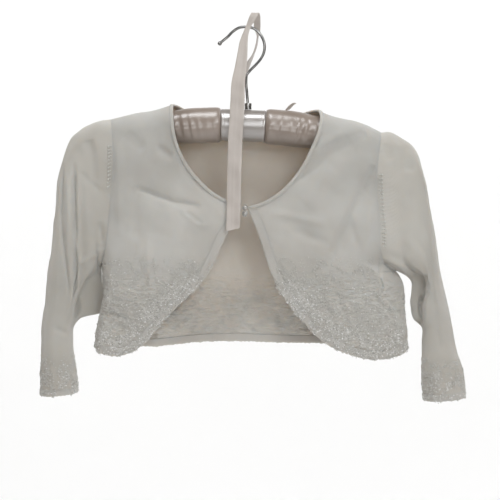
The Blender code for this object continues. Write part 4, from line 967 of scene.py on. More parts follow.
def refine(grid, row_stops, column_stops, rows, columns):
    """A finer grid through the places of a coarse one, smooth between the stops."""
    for stops, fine in ((row_stops, rows), (column_stops, columns)):
        parts = []
        for first, last in zip(stops[:-1], stops[1:]):
            at = np.linspace(0, last - first, (last - first) * fine + 1)
            part = spline(np.arange(last - first + 1), grid[first : last + 1], at)
            parts.append(part[1:] if parts else part)
        grid = np.concatenate(parts).swapaxes(0, 1)
    return grid


def hold_edges(grid, top, bottom, left, right):
    """The grid moved a little so that its edges lie exactly on these four lines."""
    rows, columns = grid.shape[:2]
    u = np.linspace(0, 1, columns)[None, :, None]
    v = np.linspace(0, 1, rows)[:, None, None]
    grid = grid + (1 - v) ** EDGE_HOLD * (top - grid[0])[None] + v**EDGE_HOLD * (bottom - grid[-1])[None]
    grid = grid + (1 - u) ** EDGE_HOLD * (left - grid[:, 0])[:, None]
    return grid + u**EDGE_HOLD * (right - grid[:, -1])[:, None]


def sleeve_grid(side, hole_front, hole_back):
    """Sleeve as closed rings from the armhole to the cuff band, and the line of the cuff's end."""
    shares = steps_between(ARMHOLE_STEPS, RING_FINE) / ARMHOLE_STEPS[-1]

    def ring(row):
        front, back = half_ring(row, "front", shares), half_ring(row, "back", shares)
        return np.concatenate([front, back[::-1][1:-1]])

    rows = [dict(zip(SLEEVE_COLUMNS, row)) for row in SLEEVE[side]]
    rings = [np.concatenate([hole_front, hole_back[::-1][1:-1]])] + [ring(row) for row in rows]
    rings = np.stack(rings)
    knots = lengths(rings.mean(axis=1))
    fine = spline(knots, rings, np.linspace(0, knots[-1], SLEEVE_LENGTH_CELLS + 1))
    outer_x, outer_z, inner_x, inner_z = CUFF[side]
    end = dict(rows[-1], outer_x=outer_x, outer_z=outer_z, fold_x=inner_x, fold_z=inner_z,
               inner_x=inner_x, inner_z=inner_z)
    return ease_underarm(fine, len(hole_front) - 1), ring(end)


def ease_underarm(rings, column):
    """The sleeve evened out where it gathers under the arm, with the armhole's own ring held."""
    rows, columns = rings.shape[:2]
    aside = (np.arange(columns) - column + columns // 2) % columns - columns // 2
    beside = np.exp(-((aside / UNDERARM_COLUMNS) ** 2))
    below = np.exp(-((np.arange(rows) / UNDERARM_ROWS) ** 2))
    share = beside[None, :] * below[:, None]
    share[[0, -1]] = 0.0
    for _ in range(UNDERARM_ROUNDS):
        middle = (np.roll(rings, 1, axis=1) + np.roll(rings, -1, axis=1)) / 4
        middle[1:-1] += (rings[2:] + rings[:-2]) / 4
        middle[[0, -1]] = rings[[0, -1]]
        rings = rings + share[..., None] * (middle - rings)
    return rings


def grid_normals(points, closed, outward):
    """Unit normal at each point of a grid, from its neighbours."""
    if closed:
        across = np.roll(points, -1, axis=1) - np.roll(points, 1, axis=1)
    else:
        across = np.gradient(points, axis=1)
    normal = np.cross(across, np.gradient(points, axis=0))
    size = np.linalg.norm(normal, axis=2)[..., None]
    return normal / np.maximum(size, TINY) * (1.0 if outward else -1.0)


def smooth_grid(values, closed):
    """Values on a grid evened out a little between neighbours."""
    if closed:
        side = (np.roll(values, 1, axis=1) + np.roll(values, -1, axis=1)) / 2
    else:
        side = values.copy()
        side[:, 1:-1] = (values[:, 2:] + values[:, :-2]) / 2
    values = (values + side) / 2
    inner = (values[2:] + values[:-2]) / 2
    values[1:-1] = (values[1:-1] + inner) / 2
    return values


def wave_noise(points, scale, seed):
    """Soft uneven swells in space, about -1 to 1: a sum of seeded waves of about this length in mm."""
    random = np.random.default_rng(seed)
    total = np.zeros(points.shape[:-1])
    for _ in range(WAVES):
        way = unit(random.normal(size=3))
        length = scale * random.uniform(*WAVE_LENGTHS)
        total = total + np.sin(points @ way * 2 * math.pi / length + random.uniform(0, WAVE_PHASE))
    return total / math.sqrt(WAVES)


def add_object(name, data):
    """A new object in the scene that holds this mesh, lamp or camera."""
    thing = bpy.data.objects.new(name, data)
    bpy.context.scene.collection.objects.link(thing)
    return thing


def mesh_object(name, points, faces, material, uv=None, smooth=True):
    """A mesh piece from points in millimetres, at the origin. The uv is one pair for each point."""
    mesh = bpy.data.meshes.new(name)
    mesh.from_pydata((np.asarray(points) * MM).tolist(), [], faces)
    if smooth:
        mesh.shade_smooth()
    if uv is not None:
        layer = mesh.uv_layers.new(name="Knit")
        corners = np.empty(len(mesh.loops), np.int32)
        mesh.loops.foreach_get("vertex_index", corners)
        layer.data.foreach_set("uv", np.asarray(uv, np.float32)[corners].ravel())
    mesh.materials.append(material)
    return add_object(name, mesh)


def grid_cells(rows, columns, closed):
    """Corner indices of a grid's cells."""
    row = np.arange(rows - 1)[:, None] * columns
    column = np.arange(columns if closed else columns - 1)[None, :]
    after = (column + 1) % columns
    cells = np.stack([row + column, row + after, row + columns + after, row + columns + column], axis=-1)
    return cells.reshape(-1, 4)


def cloth_wall(sheet, material):
    """A thin closed wall between a sheet's two grids, with its open edges filled in round."""
    outer, inner, closed, outward = (sheet[key] for key in ("outer", "inner", "closed", "outward"))
    rows, columns = outer.shape[:2]
    count = rows * columns
    cells = grid_cells(rows, columns, closed)
    front = cells[:, ::-1] if outward else cells
    rims = []
    lines = [(np.arange(columns), False), (np.arange(columns) + (rows - 1) * columns, True)]
    if not closed:
        lines.append((np.arange(rows) * columns, True))
        lines.append((np.arange(rows) * columns + columns - 1, False))
    for line, turned in lines:
        ahead = np.roll(line, -1) if closed else line[1:]
        here = line if closed else line[:-1]
        rim = np.stack([here, ahead, ahead + count, here + count], axis=-1)
        rims.append(rim[:, ::-1] if turned != outward else rim)
    faces = np.concatenate([front, front[:, ::-1] + count] + rims)
    points = np.concatenate([outer.reshape(-1, 3), inner.reshape(-1, 3)])
    u = running(np.linalg.norm(np.diff(outer, axis=1), axis=2).mean(axis=0))
    v = running(np.linalg.norm(np.diff(outer, axis=0), axis=2).mean(axis=1))
    uv = np.stack(np.meshgrid(v, u, indexing="ij")[::-1], axis=-1).reshape(-1, 2)
    piece = mesh_object(sheet["title"], points, faces.tolist(), material, np.concatenate([uv, uv]))
    return sharpen(piece)


def tidy_normals(piece):
    """Turns a closed piece's faces outwards."""
    shape = bmesh.new()
    shape.from_mesh(piece.data)
    bmesh.ops.recalc_face_normals(shape, faces=shape.faces)
    shape.to_mesh(piece.data)
    shape.free()
    return piece


def sharpen(piece):
    """Turns a closed piece's faces outwards and keeps its rims sharp."""
    tidy_normals(piece).data.set_sharp_from_angle(angle=RIM_ANGLE)
    return piece


def sweep(name, sections, closed, material, rounded=True):
    """Sections joined along a path; each is a closed loop. An open path may get rounded ends."""
    sections = np.asarray(sections)
    if rounded and not closed:
        ends = []
        for edge, inside in ((0, 1), (-1, -2)):
            middle = sections[edge].mean(axis=0)
            out = middle - sections[inside].mean(axis=0)
            size = np.linalg.norm(out)
            out = out / max(size, TINY) * min(size, END_ROUNDING)
            ends.append([middle + (sections[edge] - middle) * share + out * way
                         for share, way in END_RINGS])
        sections = np.concatenate([ends[0][::-1], sections, ends[1]])
    rows, columns = sections.shape[:2]
    cells = grid_cells(rows, columns, True).tolist()
    first, last = list(range(columns)), list(range((rows - 1) * columns, rows * columns))
    if closed:
        ahead = first[1:] + first[:1]
        cells += [list(cell) for cell in zip(last, last[1:] + last[:1], ahead, first)]
    else:
        cells += [first, last[::-1]]
    run = lengths(sections.mean(axis=1))
    around = lengths(sections[rows // 2])
    uv = np.stack(np.meshgrid(run, around, indexing="ij"), axis=-1).reshape(-1, 2)
    return sharpen(mesh_object(name, sections.reshape(-1, 3), cells, material, uv))


# Knitted pieces


def panel(side_or_back):
    """Fine places of a panel on the cloth, draped, with how it is turned."""
    if side_or_back == "back":
        lines = back_grid(ROWS_FINE, BACK_FINE)
        edge = edge_mask(lines["grid"], [0, -1])
        return lines, drape(lines["grid"], "back", edge), True
    lines = front_grid(side_or_back, ROWS_FINE)
    edge = edge_mask(lines["grid"], [0])
    return lines, drape(lines["grid"], "front", edge), side_or_back == "right"


def edge_reach(points, closed):
    """Distance in millimetres of each point from the nearest open edge of its grid."""
    down = np.linalg.norm(np.diff(points, axis=0), axis=2)
    below = np.concatenate([np.zeros((1, points.shape[1])), np.cumsum(down, axis=0)])
    reach = np.minimum(below, below[-1:] - below)
    if not closed:
        reach = np.minimum(reach, edge_reach(points.swapaxes(0, 1), True).T)
    return reach


def boundary(points, closed):
    """Marks the points on a grid's open edges."""
    mask = np.zeros(points.shape[:2], bool)
    mask[[0, -1]] = True
    if not closed:
        mask[:, [0, -1]] = True
    return mask


def share_normals(sheets):
    """Normals of the panels, the same on both sides of a seam and each its own away from it."""
    total = {}
    for sheet in sheets:
        own = sheet["own"] = grid_normals(sheet["points"], sheet["closed"], sheet["outward"])
        rim = sheet["rim"] = boundary(sheet["points"], sheet["closed"])
        for point, normal in zip(np.round(sheet["points"][rim], 3), own[rim]):
            total[tuple(point)] = total.get(tuple(point), 0) + normal
    for sheet in sheets:
        own, rim = sheet["own"], sheet["rim"]
        found = np.array([total[tuple(point)] for point in np.round(sheet["points"][rim], 3)])
        change = np.zeros_like(own)
        change[rim] = found / np.maximum(np.linalg.norm(found, axis=1)[:, None], TINY) - own[rim]
        spread = change.copy()
        for _ in range(SEAM_ROUNDS):
            spread = smooth_grid(spread, sheet["closed"])
            spread[rim] = change[rim]
        sheet["normals"] = unit(own + spread)


def crease(sheet):
    """Depth in millimetres of the finer creases, the seam grooves and the uneven lie of the knit."""
    points = sheet["points"]
    x, z = points[..., 0], points[..., 2]
    reach = edge_reach(points, sheet["closed"])
    depth = SEAM_DIP * np.exp(-((reach / SEAM_SPREAD) ** 2))
    facing = np.clip(-sheet["own"][..., 1] * FACING_GAIN, 0, 1)
    away = np.clip(sheet["own"][..., 1] * FACING_GAIN, 0, 1)
    shown = fold_depth(CREASES["front"], x, z) * facing + fold_depth(CREASES["back"], x, z) * away
    depth = depth + CREASE_DEPTH * shown * np.clip(reach / CREASE_FADE, 0, 1)
    depth = depth + LIE * wave_noise(points, LIE_WAVE, 11) + LIE_FINE * wave_noise(points, LIE_FINE_WAVE, 12)
    eased = SHOULDER_ROOM * np.tanh(depth / SHOULDER_ROOM)
    depth = np.where((z > SHOULDER_LOW) & (depth > 0), eased, depth)
    needled = np.sqrt(needlework_share(sheet)) * np.clip(reach / RIPPLE_FADE, 0, 1)
    wander = RIPPLE_WANDER * wave_noise(points, RIPPLE_WAVE, 15)
    ripple = np.sin(2 * math.pi * z / RIPPLE_PITCH + wander)
    leafy = LEAFY * wave_noise(points, LEAFY_WAVE, 13) + LEAFY_FINE * wave_noise(points, LEAFY_FINE_WAVE, 14)
    if sheet["name"] == "back":
        across = 2 * math.pi * x / RIPPLE_PITCH_BACK
        ripple = ripple + np.sin(across + WANDER_BACK * wave_noise(points, RIPPLE_WAVE_BACK, 16))
        leafy = leafy * LEAFY_BACK
    return depth - needled * (leafy + RIPPLE * ripple)


def needlework_share(sheet):
    """How densely a place is embroidered, 0 to 1, from its distance to the curved edge and the hem."""
    x, z = sheet["points"][..., 0], sheet["points"][..., 2]
    part, _, side = sheet["name"].partition("_")
    if part == "sleeve":
        top = (CUFF[side][1] + CUFF[side][3]) / 2 + CUFF_NEEDLEWORK
        return np.clip((top - z) / CUFF_NEEDLEWORK_FADE, 0, 1) * DENSEST
    if part == "back":
        hem = np.interp(x, *zip(*HEM_BACK))
        return np.clip((hem + HEM_NEEDLEWORK - z) / HEM_NEEDLEWORK_FADE, 0, 1)
    away = np.full(x.shape, np.inf)
    for edge_x, edge_z in along(FRONT_EDGE[side][1:], np.linspace(0, 1, EDGE_LOOKS)):
        away = np.minimum(away, np.hypot(x - edge_x, z - edge_z))
    low = np.clip((NEEDLEWORK_TOP - z) / FRONT_NEEDLEWORK_FADE, 0, 1) ** LOW_POWER
    near = np.exp(-(((away - BAND) / EDGE_SPREAD) ** 2))
    near = near * np.clip((NEEDLEWORK_TOP - NEAR_DROP - z) / NEAR_FADE, 0, 1)
    share = np.clip(LOW_LEAST * (low > 0) + LOW_MOST * low + near, 0, 1)
    if side == "right":
        share = share * np.clip((np.interp(z, *zip(*PLAIN_SIDE)) - x) / 3.0, 0, 1)
    return share


def make_knit():
    """The panels and sleeves, each a thin wall, and what the edgings and needlework need of them."""
    sheets = []
    strips = {}

    def keep(name, points, closed, outward):
        sheets.append({"name": name, "title": f"{name}_knit", "points": points, "closed": closed,
                       "outward": outward})

    for name in ("left", "right", "back"):
        strips[name], points, outward = panel(name)
        keep("back" if name == "back" else f"front_{name}", points, False, outward)
    holes = (len(ARMHOLE_STEPS) - 1) * ROWS_FINE + 1
    for number, (side, column) in enumerate((("left", 0), ("right", -1))):
        front, back = sheets[number]["points"][:holes, 0], sheets[2]["points"][:holes, column]
        rings, end = sleeve_grid(side, front, back)
        strips[f"cuff_{side}"] = (rings[-1], end)
        keep(f"sleeve_{side}", rings, True, side == "right")
    share_normals(sheets)
    pieces = {}
    neck_ends = strips["back"]["neck"][0][[0, -1], 0]
    for sheet in sheets:
        outer = sheet["points"] - sheet["normals"] * crease(sheet)[..., None]
        inner = outer - sheet["normals"] * WALL
        sheet["outer"] = lap_under(outer, sheet["name"], neck_ends)
        sheet["inner"] = lap_under(inner, sheet["name"], neck_ends)
        sheet["faces_out"] = grid_normals(sheet["outer"], sheet["closed"], sheet["outward"])
        # The sleeves take the warmer knit jersey, whose colour paints the warm light glowing through them
        material = knit_material("knit jersey" if sheet["closed"] else "embroidered jersey")
        pieces[sheet["name"]] = cloth_wall(sheet, material)
    return sheets, strips, pieces


def lap_under(grid, name, neck_ends):
    """The grid with its edges run on a little under the bands and bindings that cover them."""
    grid = grid.copy()
    grid[-1] += reach_on(grid[-1] - grid[-2])
    if name.startswith("front"):
        grid[:, -1] += reach_on(grid[:, -1] - grid[:, -2])
    if name == "back":
        x = grid[0, :, 0]
        under = (x > neck_ends[0] + LAP) & (x < neck_ends[1] - LAP)
        grid[0, under] += reach_on(grid[0] - grid[1])[under]
    return grid


def reach_on(steps):
    """These steps with the length of a lap."""
    return steps * (LAP / np.linalg.norm(steps, axis=1))[:, None]


def even_lines(first, second, step):
    """Two lines that run together, read at places about a step apart along them."""
    reach = lengths((first + second) / 2)
    wanted = np.linspace(0, reach[-1], int(reach[-1] / step) + 1)
    return read_line(first, reach, wanted), read_line(second, reach, wanted), wanted


def band_profile():
    """A folded band's section: distance across from the panel's edge, and rise over its face."""
    top, bottom = BAND_PROUD, BAND_PROUD - BAND_THICK
    half = BAND_THICK / 2
    profile = []
    for share in np.linspace(0, 1, BAND_FACE):
        across = GAP + share * (BAND - GAP)
        left, right = across - GAP, BAND - across
        rounding = math.sqrt(max(0.0, 1 - (1 - min(right / BAND_ROUNDING, 1)) ** 2))
        rise = BAND_LIP + (top - BAND_LIP) * (1 - math.exp(-((left / 2.0) ** 2)))
        sewn = math.exp(-(((left - BAND_STITCH_AT) / BAND_STITCH_WIDTH) ** 2))
        rise += BAND_CROWN * math.sin(math.pi * share) - BAND_STITCH * sewn
        profile.append((across, top - half + (rise - top + half) * rounding))
    for share in np.linspace(1, 0, BAND_UNDER)[1:-1]:
        profile.append((GAP + share * (BAND - GAP), bottom - BAND_BELLY * math.sin(math.pi * share)))
    return profile


def strip_frame(lines, face, seams, step):
    """A strip of cloth between two lines: start, directions across and out, width, and run along it."""
    inner, outer, run = even_lines(*lines, step)
    mask = np.zeros(len(inner), bool)
    mask[list(seams)] = True
    start = drape(inner, face, mask)
    across = drape(outer, face, mask) - start
    width = np.linalg.norm(across, axis=1)[:, None]
    return start, across / width, cloth_normals((inner + outer) / 2, face, seams), width, run


def scallops(run):
    """The seam's soft scallops along a band."""
    return BAND_SCALLOP * np.sin(run * 2 * math.pi / BAND_PITCH)[:, None]


def knit_band(name, lines, face, seams):
    """A folded band of double knit along an edge, softly puffed and a little scalloped by its seam."""
    start, across, normal, width, run = strip_frame(lines, face, seams, BAND_STEP)
    wave = scallops(run)
    swell = BAND_SWELL * wave_noise(start, BAND_SWELL_WAVE, 21)[:, None]
    low = np.clip((RUFFLE_TOP - start[:, 2:]) / RUFFLE_FADE, 0, 1)
    fine = 0.5 * RUFFLE * wave_noise(start, RUFFLE_FINE_WAVE, 24)
    ruffle = low * (RUFFLE * wave_noise(start, RUFFLE_WAVE, 23) + fine)[:, None]
    loops = []
    for place, rise in band_profile():
        share = place / BAND
        lift = rise + swell + wave * 0.5 * share + ruffle * share**2
        reach = share * (width + (wave + RUFFLE_ACROSS * ruffle) * share)
        loops.append(start + across * reach + normal * lift)
    sections = np.stack(loops, axis=1)[1:-1]
    return sweep(name, sections, False, knit_material("knit edging")), sections[:, :BAND_FACE]


def neck_binding(name, lines, face):
    """The narrow rolled binding round the neck."""
    start, across, normal, width, run = strip_frame(lines, face, {}, BINDING_STEP)
    middle = start + across * (GAP / 2 + width / 2) + normal * BINDING_RISE
    wave = BINDING_WAVE * np.sin(run * 2 * math.pi / BINDING_PITCH)[:, None]
    loops = []
    for k in range(BINDING_SIDES):
        angle = 2 * math.pi * (k + 0.5) / BINDING_SIDES
        aside = (width / 2 - GAP / 2 + wave) * math.cos(angle)
        loops.append(middle + across * aside + normal * (BINDING_HALF + wave) * math.sin(angle))
    return sweep(name, np.stack(loops, axis=1)[1:-1], False, knit_material("knit edging"))


def knit_cuff(name, start, end):
    """The folded band that ends a sleeve."""
    across = end - start
    width = np.linalg.norm(across, axis=1)[:, None]
    across = across / width
    normal = unit(np.cross(np.roll(start, -1, axis=0) - np.roll(start, 1, axis=0), across))
    if float(np.sum(normal * (start - start.mean(axis=0)))) < 0:
        normal = -normal
    wave = scallops(lengths(start))
    loops = []
    for place, rise in band_profile():
        share = place / BAND
        loops.append(start + across * (share * (width + wave * share)) + normal * (rise + 0.5 * wave * share))
    sections = np.stack(loops, axis=1)
    return sweep(name, sections, True, knit_material("knit edging")), sections[:, :BAND_FACE]


def make_edgings(strips):
    """Bindings round the neck, folded bands down the fronts and round the hem, and the cuffs."""
    pieces, faces = {}, {}

    def keep(name, piece, face):
        pieces[name], faces[name] = piece, face

    for side, out in (("left", -1.0), ("right", 1.0)):
        lines = strips[side]
        pieces[f"neck_binding_{side}"] = neck_binding(f"neck_edge_{side}", lines["neck"], "front")
        path = [np.concatenate([a, b[-2::-1]]) for a, b in zip(lines["edge"], lines["hem"])]
        keep(f"front_band_{side}", *knit_band(f"front_edge_{side}", path, "front", {-1: out}))
        keep(f"cuff_{side}", *knit_cuff(f"cuff_{side}_band", *strips[f"cuff_{side}"]))
    lines = strips["back"]
    pieces["neck_binding_back"] = neck_binding("neck_edge_back", lines["neck"], "back")
    keep("hem_band_back", *knit_band("hem_edge_back", lines["hem"], "back", {0: -1.0, -1: 1.0}))
    return pieces, faces


# Needlework


def edit_mode(on):
    bpy.ops.object.mode_set(mode="EDIT" if on else "OBJECT")


def small_shapes():
    """One stitch, one sequin and one bead, each modelled once near the origin, lying in X and Y."""
    bpy.ops.object.select_all(action="DESELECT")
    bpy.ops.mesh.primitive_cylinder_add(vertices=8, radius=SEQUIN / 2, depth=SEQUIN_THICK,
                                        location=(0, 0, 0.3))
    select_faces(bpy.context.object, lambda centre, normal: normal.z > 0.9)
    bpy.ops.mesh.inset(thickness=SEQUIN * 0.3)
    bpy.ops.transform.translate(value=(0, 0, -0.15))
    sequin = take_shape()
    bpy.ops.mesh.primitive_ico_sphere_add(subdivisions=1, radius=BEAD / 2, location=(0, 0, BEAD * 0.4))
    edit_mode(True)
    bpy.ops.mesh.bevel(offset=BEAD * 0.1, segments=1)
    bead = take_shape()
    bpy.ops.mesh.primitive_cylinder_add(vertices=5, radius=0.5, depth=0.6, location=(0, 0, 0.1),
                                        rotation=(0, math.pi / 2, 0), end_fill_type="TRIFAN")
    bpy.ops.object.transform_apply(location=True, rotation=True, scale=True)
    for corner in bpy.context.object.data.vertices:
        if math.hypot(corner.co.y, corner.co.z - 0.1) < 0.1:
            corner.co.x *= STITCH_BELLY
    return {"stitch": take_shape(), "sequin": sequin, "bead": bead}


def take_shape():
    """Corners and faces of the shape just modelled, which is then taken out of the scene."""
    edit_mode(False)
    thing = bpy.context.object
    bpy.ops.object.transform_apply(location=True, rotation=True, scale=True)
    mesh = thing.data
    points = np.array([tuple(corner.co) for corner in mesh.vertices])
    faces = [list(face.vertices) for face in mesh.polygons]
    bpy.data.objects.remove(thing)
    bpy.data.meshes.remove(mesh)
    return points, faces


def copies(name, shape, places, material):
    """Copies of a small shape in one mesh. A place is point, normal, direction, length, width and height."""
    points, faces = shape
    every, cells = [], []
    for point, normal, ahead, length, width, height in places:
        ahead = ahead - normal * np.dot(ahead, normal)
        ahead = ahead / max(np.linalg.norm(ahead), TINY)
        aside = np.cross(normal, ahead)
        base = len(every) * len(points)
        local = points[:, :1] * length * ahead + points[:, 1:2] * width * aside
        every.append(point + local + points[:, 2:3] * height * normal)
        cells += [[corner + base for corner in face] for face in faces]
    return mesh_object(name, np.concatenate(every), cells, material, smooth=name.startswith("stitches"))


def nearest_finder(points):
    """Search over the points of one face of a sheet."""
    flat = points.reshape(-1, 3)
    tree = KDTree(len(flat))
    for i, point in enumerate(flat):
        tree.insert(point, i)
    tree.balance()
    return tree


def spread_out(random, points, weight, count):
    """Places of a grid drawn by chance, denser where the weight is high and the cloth wide."""
    steps = [np.linalg.norm(np.gradient(points, axis=axis), axis=2) for axis in (0, 1)]
    weight = weight * (steps[0] * steps[1]).ravel()
    return random.choice(len(weight), size=count, p=weight / weight.sum()) if weight.sum() > 0 else ()


def sprigs(closed, points, normals, random, count, share, length):
    """Curling sprigs of stitches laid over the cloth: stems with leaves, sequins and beads beside them."""
    found = {"stitch": [], "sequin": [], "bead": []}
    leaves = ((-1.0, 1.0), ())
    tree = nearest_finder(points)
    flat, flat_normals, dense = points.reshape(-1, 3), normals.reshape(-1, 3), share.ravel()
    reach = edge_reach(points, closed).ravel()
    for start in spread_out(random, points, dense * (reach > START_REACH), count):
        point = flat[start]
        heading = unit(np.cross(flat_normals[start], random.normal(size=3)))
        bend = random.uniform(*SPRIG_BEND) * random.choice([-1.0, 1.0])
        steps = int(length * random.uniform(*SPRIG_SPAN) / STITCH_STEP)
        for k in range(steps):
            _, index, _ = tree.find(point)
            if reach[index] < STOP_REACH or dense[index] < STOP_DENSITY:
                break
            normal = flat_normals[index]
            point = point - normal * np.dot(point - flat[index], normal)
            aside = np.cross(normal, heading)
            found["stitch"].append((point, normal, heading, STITCH_STEP * STEM_LAP, STEM_WIDTH, 1.0))
            for way in leaves[k % 2]:
                lean = unit(heading * LEAF_LEAN + aside * way)
                size = random.uniform(*LEAF_SIZES) * (1 - LEAF_TAPER * k / steps)
                found["stitch"].append((point + lean * size * LEAF_SET, normal, lean, size, 1.0, LEAF_HEIGHT))
            if random.random() < SEQUIN_SHARE + SEQUIN_SHARE_EDGE * dense[index] ** 3:
                place = point + aside * random.choice([-1.0, 1.0]) * random.uniform(*GLINT_PLACES)
                kind = "sequin" if random.random() < SEQUIN_PART else "bead"
                tilt = unit(normal + random.normal(size=3) * (SEQUIN_TILT if kind == "sequin" else 0.0))
                found[kind].append((place, tilt, heading, 1.0, 1.0, 1.0))
            heading = heading * math.cos(bend) + aside * math.sin(bend)
            heading = unit(heading - normal * np.dot(heading, normal))
            point = point + heading * STITCH_STEP
            bend = bend * SPRIG_CURL
    return found


def seam_stitches(sheet):
    """Fashioning marks: short stitches in pairs on a sleeve, in a row beside its armhole seam."""
    places = []
    points, normals = sheet["outer"], sheet["faces_out"]
    top, low = FASHIONED[sheet["name"]]
    for columns in MARK_COLUMNS:
        last = None
        for column in range(*columns):
            start = points[0, column]
            if not low < start[2] < top or last is not None and np.linalg.norm(start - last) < MARK_STEP:
                continue
            last = start
            run = lengths(points[:MARK_ROWS, column])
            for distance, long, wide in MARKS:
                at = int(np.argmin(np.abs(run - distance)))
                normal = normals[at, column]
                ahead = unit(points[at + 1, column] - points[at - 1, column])
                slant = ahead + 0.5 * np.cross(normal, ahead)
                places.append((points[at, column], normal, slant, long, wide, MARK_HEIGHT))
    return places


def seed_stitches(points, normals, random, count, share):
    """Short single stitches scattered between the sprigs."""
    flat, flat_normals = points.reshape(-1, 3), normals.reshape(-1, 3)
    places = []
    for index in spread_out(random, points, np.sqrt(share).ravel(), count):
        normal = flat_normals[index]
        ahead = np.cross(normal, random.normal(size=3) + (0.0, 0.0, SEED_UPRIGHT))
        size = random.uniform(*SEED_LENGTHS)
        places.append((flat[index], normal, ahead, size, SEED_WIDTH, random.uniform(*SEED_HEIGHTS)))
    return places


def edge_share(name, face):
    """How densely the face of a band is embroidered."""
    if name.startswith("front"):
        return np.clip((EDGE_NEEDLEWORK_TOP - face[..., 2]) / EDGE_NEEDLEWORK_FADE, 0, 1)
    share = np.full(face.shape[:2], DENSEST)
    if name == "hem_band_back":
        share[:, -PLAIN_COLUMNS:] = 0.0
    return share


def outward_normals(name, face, closed):
    """A band's normals turned out of the garment: forwards on the fronts, backwards on the back."""
    normals = grid_normals(face, closed, True)
    if closed:
        forward = normals[len(normals) // 2, :20, 1].mean() < 0
    else:
        forward = normals[..., 1].mean() * (1.0 if name.endswith("back") else -1.0) > 0
    return normals * (1.0 if forward else -1.0)


def make_needlework(sheets, bands, shapes):
    """Embroidery, sequins and beads on the fronts, hem and cuffs, of a plain leafy design."""
    pieces = []
    faces = [(sheet["name"], sheet["closed"], sheet["outer"], sheet["faces_out"], needlework_share(sheet))
             for sheet in sheets]
    for name, face in bands.items():
        closed = name.startswith("cuff")
        face = face.swapaxes(0, 1) if closed else face
        faces.append((name, closed, face, outward_normals(name, face, closed), edge_share(name, face)))
    for number, (name, closed, face, normals, share) in enumerate(faces):
        random = np.random.default_rng(300 + number)
        found = sprigs(closed, face, normals, random, SPRIGS[name], share, SPRIG_LENGTH)
        if name == "back":
            inner = sheets[number]["inner"]
            inside = sprigs(False, inner, -normals, random, INSIDE_SPRIGS, share, INSIDE_LENGTH)
            found["stitch"] += inside["stitch"]
        if name in SEEDS:
            found["stitch"] += seed_stitches(face, normals, random, SEEDS[name], share)
        if name.startswith("sleeve"):
            found["stitch"] += seam_stitches(sheets[number])
        for kind, title, finish, slot in (("stitch", "stitches", "embroidery thread", "knit_edging"),
                                          ("sequin", "sequins", "clear sequins", "glass_beads"),
                                          ("bead", "beads", "clear beads", "glass_beads")):
            if found[kind]:
                piece = copies(f"{title}_{name}", shapes[kind], found[kind], plain_material(finish))
                pieces.append((name, piece, slot))
    return pieces


# Hanger, ribbon and clasp


def rings_along(path, radii, sides):
    """Round sections along a path in the plane of the hanger; radii is one for each ring and side."""
    up = unit(np.cross(unit(np.gradient(path, axis=0)), [0.0, 1.0, 0.0]))
    up = up * np.where(up[:, 2:] < 0, -1.0, 1.0)
    loops = []
    for k in range(sides):
        angle = 2 * math.pi * k / sides
        way = up * math.cos(angle) - np.array([0.0, 1.0, 0.0]) * math.sin(angle)
        loops.append(path + way * radii[:, k : k + 1])
    return np.stack(loops, axis=1)


def round_swell(run, radius, angle, scale, seed):
    """Soft swells on a round form, read at its runs and angles."""
    places = np.broadcast_arrays(run, radius * np.cos(angle), radius * np.sin(angle))
    return wave_noise(np.stack(places, axis=-1), scale, seed)


def gathers(run, turn, random):
    """Height of the uneven gathers that run out of a seam; turn is the angle from the seam."""
    away = np.abs(turn)
    knots = np.cumsum(random.uniform(PLEAT_LEAST * PLEAT_PITCH, PLEAT_MOST * PLEAT_PITCH, PLEAT_COUNT))
    number = np.arange(PLEAT_COUNT)
    heights = random.uniform(*PLEAT_HEIGHTS, PLEAT_COUNT) * np.where(number % 2, 1.0, -1.0)
    step = np.interp(run + PLEAT_SLANT * turn * PLEAT_REACH + PLEAT_START, knots, number.astype(float))
    base = np.minimum(step.astype(int), PLEAT_COUNT - 2)
    ease = (1 - np.cos(math.pi * (step - base))) / 2
    places = np.linspace(0, PLEATS[-1][0], PLEAT_PLACES)
    strength = np.interp(run, places, random.uniform(*PLEAT_STRENGTHS, PLEAT_PLACES))
    strength = strength * np.interp(run, *zip(*PLEATS))
    ridge = heights[base] * (1 - ease) + heights[base + 1] * ease
    fades = np.exp(-((away / PLEAT_SPREAD) ** 2)) + PLEAT_WIDE * np.exp(-((away / PLEAT_WIDE_SPREAD) ** 2))
    groove = PLEAT_GROOVE * np.exp(-((away / PLEAT_GROOVE_SPREAD) ** 2))
    return strength * PLEAT_DEEP * ridge * fades * np.clip(away / PLEAT_ROOT, PLEAT_AT_ROOT, 1) - groove


